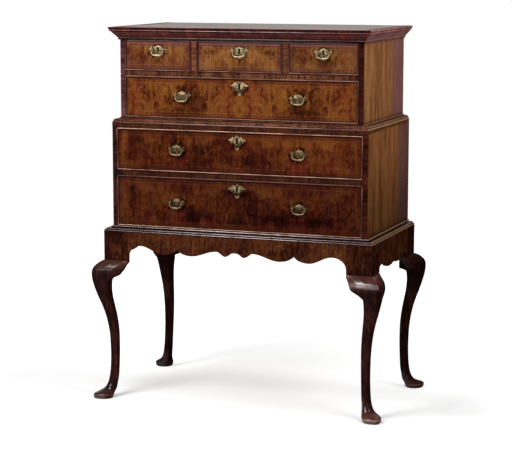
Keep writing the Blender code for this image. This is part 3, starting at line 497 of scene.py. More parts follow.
def side_finish(looks, name, front, half_width, sign, level, stile):
    """Straight-grained side, crossgrain stile with its bead, and plain wood inside."""
    f = Finish(looks, name, 0.55)
    g, y, z = f.g, f.y, f.z
    low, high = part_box(name)
    upper = front > LOWER_FRONT
    shift = 2.3 * sign
    wood = f.long_walnut(0.35, (0, shift, 0), 0.5, 1.9)
    f.ramp(wood["Tone"], "side", level)
    redder = (1.0, 1.0, 1.0) if upper else (0.78, 0.92, 0.98)
    dark, light = (scale_colour(scale_colour(colour, level), redder)
                   for colour in (looks.strip_dark, looks.strip_light))
    # The sides' rear strip: its own purplish wood, with a painted purplish reflection.
    f.lay(y.band(BACK - 0.150, BACK - 0.146) * 0.85, g.tint(wood["Tone"], dark, light))
    # Painted light: a sheen along the top of the upper case's sides; the lower case's sides darker at the
    # bottom and lighter higher up.
    if upper:
        f.lay(z.band(high.z - 0.075, high.z - 0.015) * 0.35, SIDE_TOP_SHEEN)
    else:
        f.lay(1.0, g.mix(z.band(low.z + 0.030, low.z + 0.340), 0.62, 1.24), "MULTIPLY")
    joints = [abs(y - where).band(0.0011, 0.0003) for where in (front + 0.118, front + 0.262, BACK - 0.148)]
    joints = joints[0].most(*joints[1:])
    f.lay(joints * 0.5, (0.012, 0.005, 0.003))
    # Darker along the bottom and the front and back edges of the side.
    edge_dark = z.band(low.z + 0.034, low.z + 0.018).most(
        y.band(front + 0.010, front + 0.002), y.band(BACK - 0.010, BACK - 0.002))
    f.lay(edge_dark * 0.5, (0.020, 0.007, 0.004))
    board = f.colour
    _, tone, joint = f.crossgrain(CROSS_PIECE, shift, 1.0, 0.9, "z")
    f.ramp(tone, "stile")
    f.lay(1.0, stile, "MULTIPLY")
    f.lay(joint * 0.45, DARK_LINE)
    f.bead_edge(front)
    f.colour = g.tint(y.band(front + 0.0014, front + 0.0004), board, f.colour)
    inner = (f.x * sign).band(half_width - 0.018, half_width - 0.020) * y.band(front + 0.010, front + 0.020)
    f.lay(inner, looks.oak_mid)
    f.loss()
    return f.seal(wood["Height"] + joints * -0.8, 0.0004)


def partition_finish(looks, name, shift, strength):
    """The short stiles between the small drawers, crossgrain like the outer ones."""
    f = Finish(looks, name, 0.40)
    wood, tone, _ = f.crossgrain(CROSS_PIECE, shift, 0.6, 0.8, "z")
    f.ramp(tone, "rail", strength)
    f.bead_edge(UPPER_FRONT)
    f.lay(f.y.band(UPPER_FRONT + 0.022, UPPER_FRONT + 0.024), looks.oak_mid)
    return f.seal(wood["Height"], 0.0003)


def plain_wood(looks, name, prefix, axis="x", knots=0.0):
    """Oak or pine boards along an axis, or a drawer box with its dovetails painted on."""
    f = Finish(looks, name, 0.62)
    g, x, y, z = f.g, f.x, f.y, f.z
    if axis == "box":
        sideways = abs(f.normal("True Normal")[0]).above(0.5)
        along, across, third = g.mix(sideways, x, y), z, g.mix(sideways, y, x)
        count = g.mix(sideways, y, 0.05) * (1.0 / PLANK_W)
    else:
        along, across, third = (x, y, z) if axis == "x" else (z, x, y)
        count = across * (1.0 / PLANK_W)
    rings = g.noise(g.join(across, third, along * 0.10), 42.0, 4.0, 0.6, 0.6)
    fine = g.noise(g.join(across, third, along * 0.02), 420.0, 3.0, 0.6)
    f.ramp(0.5 + rings.spread(1.6) + fine.spread(0.8) + g.random(count.floor()).spread(0.25), prefix)
    seam = count.fold(0.5).band(0.006, 0.002)
    f.lay(seam * 0.8, (0.020, 0.012, 0.006))
    if axis == "box":
        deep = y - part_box(name)[0].y
        wave = (z * (1.0 / TAIL_PITCH)).fold(0.5) * TAIL_PITCH
        slant = abs(wave + deep * 0.30 - 0.25 * TAIL_PITCH)
        cut = slant.band(0.0009, 0.0004) * deep.band(TAIL_LENGTH + 0.0003, TAIL_LENGTH)
        end = abs(deep - TAIL_LENGTH).band(0.0008, 0.0004)
        f.lay(cut.most(end) * sideways * 0.75, (0.022, 0.013, 0.007))
    if knots:
        away = g.made("ShaderNodeTexVoronoi", "Distance", {
            "Vector": g.join(across * 6.0, third * 6.0, along * 3.2), "Scale": 1.0}, feature="F1")
        f.lay(away.band(0.13, 0.07) * knots, (0.060, 0.026, 0.010))
    f.lay(f.wear["Dirt"] * 0.40, (0.060, 0.035, 0.018))
    return f.seal(rings * 0.7 + fine * 0.5 + seam * -1.5, 0.0005, level=0.15)


def moulding_finish(looks, name, shift, strength, coat, side_level, bloom, lines):
    """Polished crossgrain moulding in short lengths, with dirt, painted shade in its quirks, painted
    highlights along its crests and painted light on its side faces.
    """
    f = Finish(looks, name, 0.42)
    g = f.g
    wood, tone, joint = f.crossgrain(MOULDING_PIECE, shift, 1.2, 0.9)
    _, side_tone, side_joint = f.crossgrain(MOULDING_PIECE, shift + 0.37, 1.2, 0.9, "y")
    across, _, up = f.normal("True Normal")
    sideways = abs(across).above(0.25)
    joint = g.mix(sideways, joint, side_joint)
    f.ramp(g.mix(sideways, tone, side_tone), "moulding", strength)
    # Painted light on the side faces: their colour scaled by the side level, then a painted sheen (the
    # bloom) laid over it.
    f.lay(sideways, side_level, "MULTIPLY")
    f.lay(sideways * bloom[0], bloom[1])
    f.lay(up.band(0.85, 0.97) * 0.75, looks.top_mid)
    f.lay(joint * 0.6, (0.006, 0.002, 0.002))
    broken = g.noise(f.place, 22.0, 3.0, 0.6).band(0.30, 0.55)
    # Painted highlights are brightest near the middle of the front, where the lamp reflects.
    bright = g.mix(abs(f.x).band(0.40, 0.15), 0.35, 1.0)
    # Highlight colour for the crests, cream on the side faces; the kind dirt below lays painted shade.
    crest = g.tint(sideways, looks.moulding_crest, SIDE_HIGHLIGHT_CREAM)
    kinds = {"dirt": (QUIRK_SHADE, g.mix(sideways, 1.0, 0.5)), "warm": (COVE_WARMTH, 0.4 + broken * 0.6),
             "crest": (crest, 0.45 + broken * 0.55, bright), "side": (crest, sideways, 0.6 + broken * 0.4)}
    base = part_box(name)[0].z
    for middle, half, amount, kind in lines:
        line = abs(f.z - (base + middle)).band(half + 0.0005, half - 0.0003) * amount
        shade, *shares = kinds[kind]
        for share in shares:
            line = line * share
        f.lay(line, shade)
    f.lay(f.wear["Dirt"] * 0.4, DARK_LINE)
    return f.seal(wood["Height"] + joint * -0.8, 0.0002, g.mix(sideways, coat, coat * 0.1), 0.12)


def leg_finish(looks, name, strength, polish):
    """Solid polished walnut, its grain along the leg, glossiest on the knee and the foot."""
    f = Finish(looks, name, 0.45)
    g, z, rubbed = f.g, f.z, f.wear["Rubbed"]
    wood = f.long_walnut(0.5, (2.0, 1.0, 0.0), 0.8, 1.2)
    f.ramp(wood["Tone"], "leg", strength)
    # Painted shade: darker on the leg just below the knee.
    f.lay(z.band(0.370, 0.430) * z.band(0.495, 0.480) * 0.55, (0.006, 0.002, 0.002))
    point = g.made("ShaderNodeNewGeometry", "Pointiness")
    # Rubbed edges are real wear; the shoulder band on top of the knee is a painted highlight.
    edges = point.band(0.505, 0.56) * (0.3 + rubbed)
    shoulder = z.band(0.503, 0.518) * (0.35 + rubbed)
    f.lay((edges * 0.5).most(shoulder * 0.8) * polish, looks.leg_worn)
    # Painted shade: darker in the hollows.
    f.lay(point.band(0.495, 0.45) * 0.6, (0.005, 0.002, 0.002))
    shaded = g.mix(f.x.band(0.0, -0.1), 1.0, 0.30)
    # Painted highlights: paler feet and a pale line along the pad's rim, weaker on the left legs.
    f.lay(z.band(0.046, 0.022) * (0.65 * polish) * shaded, looks.leg_worn)
    f.lay(z.band(0.0115, 0.013) * z.band(0.0175, 0.016) * (0.45 * polish) * shaded, TOE_HIGHLIGHT)
    forward = f.y.band(0.0, -0.1)
    across, facing, _ = f.normal()
    # Painted highlight: a pale band across the front of the front right knee.
    glow = (z.band(0.493, 0.501) * z.band(0.517, 0.509) * facing.band(-0.30, -0.65) * f.x.band(0.0, 0.1)
            * (0.25 + rubbed * 0.75))
    f.lay(glow * forward * 0.85, KNEE_HIGHLIGHT)
    knee = z.band(0.484, 0.502) * 0.95 * shaded * g.mix(forward, 0.30, 1.0)
    coat = (0.04 + knee + z.band(0.085, 0.045)) * across.band(0.60, 0.25) * polish
    return f.seal(wood["Height"], 0.0002, coat, 0.23)


def apron_finish(looks, name, shift, strength):
    """Figured veneer on the stand's rails; the corner blocks are darker."""
    f = Finish(looks, name, 0.45)
    wide, deep = abs(f.x), abs(f.y)
    wood = f.walnut(f.place, (shift, shift, 0), 0.7, 1.0)
    corner = (wide.band(STAND_HALF - CORNER_BLOCK, STAND_HALF - CORNER_BLOCK + 0.004)
              * deep.band(BACK - CORNER_BLOCK, BACK - CORNER_BLOCK + 0.004))
    f.ramp(wood["Tone"] - corner * 0.20, "apron", strength)
    f.lay(f.z.band(LEG_TOP + 0.008, LEG_TOP) * 0.5, DARK_LINE)
    f.lay(f.wear["Dirt"] * 0.3, GRIME)
    inner = (wide.band(STAND_HALF - RAIL_T + 0.002, STAND_HALF - RAIL_T)
             * deep.band(BACK - RAIL_T + 0.002, BACK - RAIL_T))
    f.lay(inner, (0.060, 0.032, 0.016))
    return f.seal(wood["Height"], 0.0003)


def top_finish(looks, name):
    """Two figured boards on the top, glossy with wax."""
    f = Finish(looks, name, 0.34)
    wood = f.walnut(f.g.join(f.z, f.y, f.x * 0.6), (31.0, 0, 0), 0.7, 1.0)
    dark = abs(f.y + 0.01).band(0.055, 0.025)
    f.ramp(wood["Tone"] + dark * -0.16 + f.y.band(-0.06, -0.14) * 0.20, "top")
    seam = abs(f.y - TOP_SEAM_Y).band(0.0010, 0.0003)
    f.lay(seam * 0.8, (0.010, 0.005, 0.003))
    f.lay(f.wear["Dirt"] * 0.4, (0.030, 0.014, 0.008))
    return f.seal(wood["Height"] + seam * -1.0, 0.0003, 0.15, 0.2, 0.35)


def bead_finish(looks):
    """Polished walnut bead, rubbed and paler with a painted highlight along its upward-facing crest, with
    painted shade in its quirk.
    """
    f = Finish(looks, "cock_bead", 0.40)
    z = f.z
    wood, tone, joint = f.crossgrain(BEAD_PIECE, 5.0, 0.5, 0.6)
    upper = f.y.band(LOWER_FRONT + 0.010, LOWER_FRONT + 0.012)
    depth = f.g.mix(upper, LOWER_FRONT, UPPER_FRONT) - f.y
    across, _, up = f.normal()
    # Painted highlight along the bead's upward-facing crest, with rubbed wear; weaker on the upper case and
    # over the top of the lowest drawer.
    lit = up.band(0.0, 0.30).most(across.band(-0.25, -0.60) * 0.05)
    rubbed = 0.28 + f.g.noise(f.place, 11.0, 3.0, 0.6).band(0.30, 0.60) * 0.72
    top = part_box("long_lower_drawer_front")[1].z
    painted_dim = z.band(top - 0.006, top - 0.003) * z.band(top + 0.014, top + 0.010) * 0.8
    worn_and_lit = depth.band(0.0007, 0.0016) * lit * rubbed * (1.0 - painted_dim.most(upper * 0.5))
    f.ramp(tone, "stile", 1.2)
    f.lay(0.5, looks.bead)
    f.lay(worn_and_lit * 0.85, looks.bead_crest)
    f.lay(joint * 0.5, (0.012, 0.005, 0.003))
    f.lay(f.wear["Dirt"] * 0.4, GRIME)
    # Painted shade in the quirk at the bead's foot.
    f.lay(depth.band(0.0007, 0.0003) * 0.9, QUIRK_SHADE)
    return f.seal(wood["Height"], 0.0001, 0.05, 0.15)


def brass_finish(looks, name, painted_dim, kind="bail"):
    """Aged cast brass: rubbed on the rims, brown in the hollows, with painted highlights on the crown and
    painted shade on a plate's lower part and an escutcheon's neck and keyhole.
    """
    f = Finish(looks, name)
    g = f.g
    cloud = g.noise(f.place, 110.0, 4.0, 0.65)
    chased = g.noise(f.place, 260.0, 2.0, 0.5, 0.6)
    point = g.made("ShaderNodeNewGeometry", "Pointiness")
    tone = 0.42 - painted_dim + cloud.spread(0.9) + point.band(0.51, 0.60) * 0.30 + point.band(0.49, 0.44) * -0.5
    if kind != "bail":
        low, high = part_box(name)
        middle = ((low.x + high.x) / 2, high.y, (low.z + high.z) / 2)
        x, _, z = g.vector("SUBTRACT", f.place, middle).split()
        wide = abs(x)
        tone = tone + chased.spread(1.7 if kind == "scutcheon" or "short" in name else 0.9)
    if kind == "plate":
        # Painted highlight on the plate's crown and painted shade below its middle.
        crown = z.band(0.004, 0.013) * wide.band(0.018, 0.010)
        shade = z.band(-0.002, -0.008) * wide.band(0.021, 0.017)
        tone = tone + crown * 0.20 + shade * -0.06 + wide.band(0.020, 0.026) * 0.04
    if kind == "scutcheon":
        # Painted highlights on the escutcheon's lobes, round its keyhole and at its foot; painted shade on
        # its neck.
        lobe = z.band(0.004, 0.010) * wide.band(0.007, 0.012)
        neck = z.band(0.000, -0.006) * z.band(-0.020, -0.014)
        ring = wide.band(0.012, 0.008) * abs(z - 0.004).band(0.013, 0.010)
        tone = tone + lobe * 0.20 + ring * 0.24 + z.band(-0.018, -0.024) * 0.20 + neck * -0.22
    f.colour = g.ramp(tone, ((0.0, (0.018, 0.008, 0.003)), (0.28, looks.brass_dark),
                             (0.60, looks.brass_mid), (1.0, looks.brass_light)))
    if kind == "scutcheon":
        # Painted shade: black inside the keyhole.
        f.lay(wide.band(0.0046, 0.0038) * abs(z - 0.003).band(0.0094, 0.0080), (0.003, 0.002, 0.001))
    return f.set(Base_Color=f.colour, Metallic=1.0, Roughness=g.mix(tone.least(1.0), 0.62, 0.34),
                 Normal=g.bump(cloud + chased * 0.6, 0.0003, 0.8))


# ---------------------------------------------------------------- mesh making

def add_piece(name, mesh, material, body, *nodes, slot=None):
    """Puts a finished mesh in the scene on its body, in place of CAD nodes where they are given."""
    obj = bpy.data.objects.new(name, mesh)
    bpy.context.scene.collection.objects.link(obj)
    mesh.materials.clear()
    mesh.materials.append(material)
    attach(obj, body)
    if nodes:
        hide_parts(*nodes)


def mesh_of(bm, name, angle=None, smooth=True):
    bmesh.ops.recalc_face_normals(bm, faces=bm.faces)
    for face in bm.faces:
        face.smooth = smooth
    mesh = bpy.data.meshes.new(name)
    bm.to_mesh(mesh)
    bm.free()
    if angle is not None:
        mesh.set_sharp_from_angle(angle=math.radians(angle))
    return mesh


def held(name, data):
    """A passing object for a mesh or curve that modifiers have still to work on."""
    holder = bpy.data.objects.new(name + "_making", data)
    bpy.context.scene.collection.objects.link(holder)
    return holder


def baked(holder):
    """The mesh that a passing object comes to; the object goes."""
    bpy.context.view_layer.update()
    graph = bpy.context.evaluated_depsgraph_get()
    mesh = bpy.data.meshes.new_from_object(holder.evaluated_get(graph))
    bpy.data.objects.remove(holder, do_unlink=True)
    return mesh


def poly_curve(name, dimensions, lines, cyclic):
    """A curve of straight pieces; each point is a place and a radius."""
    curve = bpy.data.curves.new(name, "CURVE")
    curve.dimensions = dimensions
    for line in lines:
        spline = curve.splines.new("POLY")
        spline.points.add(len(line) - 1)
        for point, (place, radius) in zip(spline.points, line):
            point.co = (*place, 1.0)
            point.radius = radius
        spline.use_cyclic_u = cyclic
    return curve


def loft(bm, rings, closed=False):
    """Skins a row of rings; a closed row joins its last ring to its first, an open one gets ends."""
    rows = [[bm.verts.new(point) for point in ring] for ring in rings]
    for lower, upper in zip(rows, rows[1:] + rows[:1] if closed else rows[1:]):
        for i in range(len(lower)):
            j = (i + 1) % len(lower)
            bm.faces.new((lower[i], lower[j], upper[j], upper[i]))
    if not closed:
        bm.faces.new(rows[0][::-1])
        bm.faces.new(rows[-1])


def add_box(bm, one, other):
    """A box between two opposite corners."""
    low = Vector([min(a, b) for a, b in zip(one, other)])
    high = Vector([max(a, b) for a, b in zip(one, other)])
    made = bmesh.ops.create_cube(bm, size=1.0)["verts"]
    bmesh.ops.scale(bm, vec=high - low, verts=made)
    bmesh.ops.translate(bm, vec=(low + high) / 2, verts=made)


def arc(cx, cy, radius, start, end, steps):
    angles = [math.radians(start + (end - start) * i / steps) for i in range(steps + 1)]
    return [(cx + radius * math.cos(angle), cy + radius * math.sin(angle)) for angle in angles]


def smooth_line(points, steps):
    """A curve through the points, as short straight pieces."""
    result = []
    last = len(points) - 1
    for i in range(last):
        p0, p1, p2, p3 = (Vector(points[min(max(k, 0), last)]) for k in range(i - 1, i + 3))
        for k in range(steps):
            t = k / steps
            a = 2 * p1 + (p2 - p0) * t
            b = (2 * p0 - 5 * p1 + 4 * p2 - p3) * t * t
            c = (3 * p1 - p0 - 3 * p2 + p3) * t ** 3
            result.append(tuple((a + b + c) / 2))
    return result + [tuple(points[-1])]


def between(table, z):
    """The value at a height in a table of heights and values."""
    for (z0, v0), (z1, v1) in zip(table, table[1:]):
        if z <= z1:
            return v0 + (v1 - v0) * (z - z0) / (z1 - z0)
    return table[-1][1]


# ---------------------------------------------------------------- legs

# Rows of height, outer reach and half thickness: the foot from the floor up, the shin by its share
# of the way to the knee, the knee by its distance below the leg's top.
LEG_FOOT = (
    (0.000, 0.0370, 0.0320), (0.004, 0.0405, 0.0350), (0.018, 0.0400, 0.0365), (0.024, 0.0300, 0.0325),
    (0.036, 0.0105, 0.0240), (0.055, -0.0005, 0.0195),
)
LEG_SHIN = (
    (0.09, -0.0072, 0.0179), (0.25, -0.0109, 0.0171), (0.43, -0.0109, 0.0175), (0.60, -0.0077, 0.0186),
    (0.75, -0.0004, 0.0200), (0.88, 0.0101, 0.0220),
)
LEG_KNEE = (
    (0.1426, 0.0230, 0.0253), (0.1076, 0.0328, 0.0292), (0.0776, 0.0396, 0.0335), (0.0476, 0.0418, 0.0365),
    (0.0306, 0.0380, 0.0375), (0.0176, 0.0285, 0.0375), (0.0076, 0.0165, 0.0370), (0.0003, 0.0025, 0.0360),
)
# By share of the leg's height: how square the section is, 2 being round, and how far it leans.
LEG_SQUARE = ((0.0, 2.0), (0.19, 2.05), (0.46, 2.5), (0.67, 3.2), (0.86, 4.2), (1.0, 4.8))
LEAN_SHARE = ((0.0, 0.0), (0.07, 0.02), (0.74, 0.95), (0.82, 1.0), (0.89, 0.90), (1.0, 0.25))
# Rows of a knee bracket: distance from the corner, depth in front and behind, share of the swell.
EAR = (
    (0.010, 0.0916, 0.0876, 0.95), (0.026, 0.0806, 0.0766, 0.95), (0.040, 0.0696, 0.0656, 0.92),
    (0.053, 0.0626, 0.0576, 0.86), (0.064, 0.0586, 0.0496, 0.76), (0.074, 0.0536, 0.0396, 0.62),
    (0.081, 0.0436, 0.0296, 0.48), (0.087, 0.0296, 0.0196, 0.36), (0.093, 0.0196, 0.0116, 0.24),
    (0.0985, 0.0116, 0.0066, 0.14),
)
BACK_EAR = (
    (0.010, 0.0816, 0.0816, 0.90), (0.030, 0.0706, 0.0706, 0.82), (0.042, 0.0666, 0.0666, 0.64),
    (0.050, 0.0646, 0.0646, 0.46), (0.056, 0.0636, 0.0636, 0.32),
)
EAR_BACK = 0.019
EAR_LIP = 0.003
EAR_ROWS = 22
LEAN = 0.0120
TOE_OUT = 0.0070
TOE_TOP = 0.030
POST_W = 0.052
POST_FOOT = 0.020
LEG_SIDES = 40
LEG_ROWS = 90
RIM_HEIGHTS = [0.002, 0.0165, 0.0175, 0.0185, 0.0205]


def leg_curve():
    foot_top = LEG_FOOT[-1][0]
    shin = LEG_TOP - LEG_KNEE[0][0] - foot_top
    return [*LEG_FOOT, *((foot_top + share * shin, out, half) for share, out, half in LEG_SHIN),
            *((LEG_TOP - drop, out, half) for drop, out, half in LEG_KNEE)]


LEG_CURVE = leg_curve()


def leg_row(z):
    """Outer reach and half thickness of the leg at one height, on a smooth curve."""
    rows = LEG_CURVE
    index = 0
    while index < len(rows) - 2 and z > rows[index + 1][0]:
        index += 1
    z0, z1 = rows[index][0], rows[index + 1][0]
    rise = z1 - z0
    t = (z - z0) / rise
    before = rows[max(index - 1, 0)]
    after = rows[min(index + 2, len(rows) - 1)]
    values = []
    for k in (1, 2):
        m0 = (rows[index + 1][k] - before[k]) / (z1 - before[0])
        m1 = (after[k] - rows[index][k]) / (after[0] - z0)
        values.append((2 * t ** 3 - 3 * t ** 2 + 1) * rows[index][k] + (t ** 3 - 2 * t ** 2 + t) * rise * m0
                      + (3 * t ** 2 - 2 * t ** 3) * rows[index + 1][k] + (t ** 3 - t ** 2) * rise * m1)
    return values


def leg_ring(z):
    """One cross section: square at the knee, round at the ankle, with a toe at the foot."""
    out, half = leg_row(z)
    power = 2 / between(LEG_SQUARE, z / LEG_TOP)
    toe = TOE_OUT * max(0.0, min(1.0, (TOE_TOP - z) / 0.010))
    ring = []
    for i in range(LEG_SIDES):
        angle = 2 * math.pi * (i + 0.5) / LEG_SIDES
        c, s = math.cos(angle), math.sin(angle)
        stretch = toe * max(0.0, (c + s) / math.sqrt(2)) ** 8 / math.sqrt(2)
        u, v = (math.copysign(abs(w) ** power, w) * half for w in (c, s))
        ring.append((out - half + u + stretch, out - half + v + stretch, z))
    return ring


def ear_rings(stations):
    """Cross sections of a knee bracket, from inside the leg outwards."""
    top = LEG_TOP - GAP
    rings = []
    for distance, under, behind, share in smooth_line(stations, 4):
        ring = [(-distance, -EAR_BACK, LEG_TOP - behind), (-distance, -EAR_BACK, top)]
        for k in range(EAR_ROWS):
            z = top - (under - GAP) * k / (EAR_ROWS - 1)
            swell = leg_row(z)[0] * share
            low = min(1.0, max(0.0, (k / (EAR_ROWS - 1) - 0.86) / 0.14))
            ring.append((-distance, max(swell - EAR_LIP * low ** 2, 0.0), z))
        rings.append(ring)
    return rings


def leg_mesh(name, sx, sy, lean, voxel):
    """Leg, two knee brackets and post, melted into one carved skin."""
    def placed(points):
        return [(sx * (STAND_HALF + u) - sx * lean * between(LEAN_SHARE, z / LEG_TOP),
                 sy * (BACK + v), z) for u, v, z in points]

    bm = bmesh.new()
    heights = [LEG_CURVE[-1][0] * i / LEG_ROWS for i in range(LEG_ROWS + 1)]
    loft(bm, [placed(leg_ring(z)) for z in sorted(heights + RIM_HEIGHTS)])
    loft(bm, [placed([(v, u, z) for u, v, z in ring]) for ring in ear_rings(EAR)])
    loft(bm, [placed(ring) for ring in ear_rings(EAR if sy < 0 else BACK_EAR)])
    inner = RAIL_T + GAP
    deep, shallow = ((sx * (STAND_HALF + u), sy * (BACK + u)) for u in (-inner - POST_W, -inner))
    add_box(bm, (*deep, LEG_TOP - POST_FOOT), (*shallow, LEG_TOP + 0.002))
    holder = held(name, mesh_of(bm, name))
    for kind, settings in (("REMESH", {"mode": "VOXEL", "voxel_size": voxel, "use_smooth_shade": True}),
                           ("SMOOTH", {"factor": 0.5, "iterations": 9})):
        step = holder.modifiers.new(kind.lower(), kind)
        for key, value in settings.items():
            setattr(step, key, value)
    bm = bmesh.new()
    bm.from_mesh(baked(holder))
    top = LEG_TOP - GAP
    for vert in bm.verts:
        outside = max(abs(vert.co.x) - STAND_HALF + inner, abs(vert.co.y) - BACK + inner)
        if vert.co.z > top and outside > 0.0001:
            vert.co.z = top
        vert.co.z = max(vert.co.z, 0.0)
    add_box(bm, (*deep, LEG_TOP - 0.004), (*shallow, APRON_HIGH.z))
    return mesh_of(bm, name)


# ---------------------------------------------------------------- mouldings

def cyma(start, end, steps):
    points = []
    for i in range(1, steps):
        t = i / steps
        mix = 0.45 * t + 0.55 * (1 - math.cos(math.pi * t)) / 2
        points.append((start[0] + (end[0] - start[0]) * mix, start[1] + (end[1] - start[1]) * t))
    return points


def ovolo(start, end, steps, fullness):
    points = []
    for i in range(1, steps):
        angle = math.pi / 2 * i / steps
        out = end[0] + (start[0] - end[0]) * math.cos(angle) ** fullness
        points.append((out, start[1] + (end[1] - start[1]) * math.sin(angle) ** fullness))
    return points


# Each moulding's outline as in the CAD: distance out from the case and height.

def stand_outline(edge, base, crest):
    foot, head = (edge - 0.0050, base + 0.0080), (0.0070, crest - 0.0062)
    return [(-0.028, base), (edge - 0.0008, base), (edge - 0.0008, base + 0.0006),
            *arc(edge - 0.0028, base + 0.0034, 0.0028, -70, 90, 14),
            (edge - 0.0042, base + 0.0061), (edge - 0.0050, base + 0.0066), foot,
            *ovolo(foot, head, 18, 0.85), head, (0.0042, crest - 0.0062), (0.0038, crest - 0.0054),
            *arc(0.0028, crest - 0.0026, 0.0026, -80, 90, 14),
            (GAP, crest), (GAP, base + 0.006), (-0.028, base + 0.006)]


def waist_outline(edge, base, crest):
    foot, head = (edge - 0.0034, base + 0.0060), (0.0050, crest - 0.0042)
    return [(GAP, base), (edge - 0.0012, base), *arc(edge - 0.0022, base + 0.0024, 0.0022, -60, 90, 12),
            (edge - 0.0034, base + 0.0048), foot, *ovolo(foot, head, 18, 0.8), head,
            (0.0030, crest - 0.0040), *arc(0.0018, crest - 0.0020, 0.0019, -60, 90, 10), (GAP, crest)]


def cornice_outline(edge, base, crest):
    foot, head = (0.0086, base + 0.0092), (edge - 0.0080, base + 0.0318)
    return [(GAP, base), (0.0030, base), *arc(0.0036, base + 0.0030, 0.0028, -90, 90, 14),
            (0.0042, base + 0.0064), (0.0070, base + 0.0070), (0.0070, base + 0.0092), foot,
            *cyma(foot, head, 22), head, (edge - 0.0062, base + 0.0322),
            *arc(edge - 0.0050, base + 0.0351, 0.0029, -110, 70, 14), (edge - 0.0040, base + 0.0386),
            (edge - 0.0012, base + 0.0394), (edge - 0.0004, base + 0.0404), (edge, base + 0.0420),
            *arc(edge - 0.0012, crest - 0.0012, 0.0012, 0, 90, 4), (GAP, crest)]


def swept(node, outline, half_width, front):
    """A moulding round both sides and the front, mitred at the two front corners."""
    low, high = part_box(node)
    profile = outline(high.x - half_width, low.z, high.z)
    bm = bmesh.new()
    loft(bm, [[(sign * (half_width + out), y - out * mitre, z) for out, z in profile]
              for sign, y, mitre in ((-1, BACK, 0), (-1, front, 1), (1, front, 1), (1, BACK, 0))])
    return mesh_of(bm, node + "_run", 32)


# ---------------------------------------------------------------- beads

BEAD_R = 0.0026
BEAD_BASE = 0.0004
BEAD_PROUD = 0.00015
BEAD_TURNS = 12
QUIRK_FILL = 0.00012
DRAWER_PLAY = 0.0008
DRAWERS = ("short_drawer_left", "short_drawer_centre", "short_drawer_right", "long_upper_drawer",
           "long_middle_drawer", "long_lower_drawer")


def bead_section():
    """A half round and its quirk: distance out from the opening's edge and depth before the case."""
    turns = [math.pi * i / BEAD_TURNS for i in range(BEAD_TURNS + 1)]
    return [(BEAD_R - (BEAD_R + BEAD_PROUD) * math.cos(turn),
             BEAD_BASE - 0.0001 + (BEAD_R + BEAD_PROUD) * math.sin(turn)) for turn in turns] + [
        (2 * BEAD_R + 0.0002, QUIRK_FILL), (2 * BEAD_R + 0.0012, QUIRK_FILL), (2 * BEAD_R + 0.0012, 0.0),
        (0.0, 0.0)]


def add_bead(bm, drawer):
    """A mitred bead round a drawer's opening; a short drawer's has no length along the top."""
    low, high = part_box(drawer + "_front")
    front = UPPER_FRONT if low.y > (UPPER_FRONT + LOWER_FRONT) / 2 else LOWER_FRONT
    closed = not drawer.startswith("short")
    rings = []
    for right, up in ((False, True), (False, False), (True, False), (True, True)):
        ring = []
        for out, depth in bead_section():
            x = high.x + DRAWER_PLAY + out if right else low.x - DRAWER_PLAY - out
            z = high.z + DRAWER_PLAY + (out if closed else 0.0) if up else low.z - DRAWER_PLAY - out
            ring.append((x, front - depth, z))
        rings.append(ring)
    loft(bm, rings, closed)


# ---------------------------------------------------------------- brasses

# Right halves of the outlines from the top round to the bottom: across and up from the middle.
PLATE_HALF = (
    (0.0, 0.0215), (0.0045, 0.0172), (0.0105, 0.0158), (0.0170, 0.0128), (0.0205, 0.0082),
    (0.0232, 0.0094), (0.0262, 0.0150), (0.0305, 0.0098), (0.0362, 0.0038), (0.0305, 0.0014),
    (0.0292, -0.0062), (0.0222, -0.0040), (0.0205, -0.0110), (0.0160, -0.0190), (0.0085, -0.0226),
    (0.0, -0.0252),
)
SCUTCHEON_HALF = (
    (0.0, 0.0300), (0.0036, 0.0242), (0.0086, 0.0222), (0.0120, 0.0178), (0.0165, 0.0212),
    (0.0212, 0.0160), (0.0278, 0.0118), (0.0352, 0.0072), (0.0268, 0.0030), (0.0226, -0.0046),
    (0.0166, -0.0060), (0.0158, -0.0122), (0.0092, -0.0172), (0.0070, -0.0240), (0.0, -0.0306),
)
POST_X = 0.0184
POST_R = 0.0036
POST_UP = 0.0055
POST_OUT = 0.0085
POST_SIDES = 24
KEY_UP = 0.0085
SCUTCHEON_KEY_UP = 0.0110
KEY_R = 0.0043
KEY_SLOT_W = 0.0058
KEY_SLOT_L = 0.0145
PLATE_T = 0.0018
PLATE_EDGE = 0.0004
BAIL_HALF = 0.0243
BAIL_DROP = 0.0228
BAIL_STEPS = 18
BAIL_SIDES = 16
PIN_R = 0.00145
BOW_END_R = 0.0018


def keyhole_outline(up):
    half = KEY_SLOT_W / 2
    start = math.degrees(math.asin(half / KEY_R))
    slot = [(-half, up - KEY_SLOT_L), (half, up - KEY_SLOT_L)]
    return arc(0.0, up, KEY_R, -90 + start, 270 - start, 20) + slot


def both_halves(half):
    line = [(max(a, 0.0), b) for a, b in smooth_line(half, 4)]
    return (line + [(-a, b) for a, b in line[-2:0:-1]])[::-1]


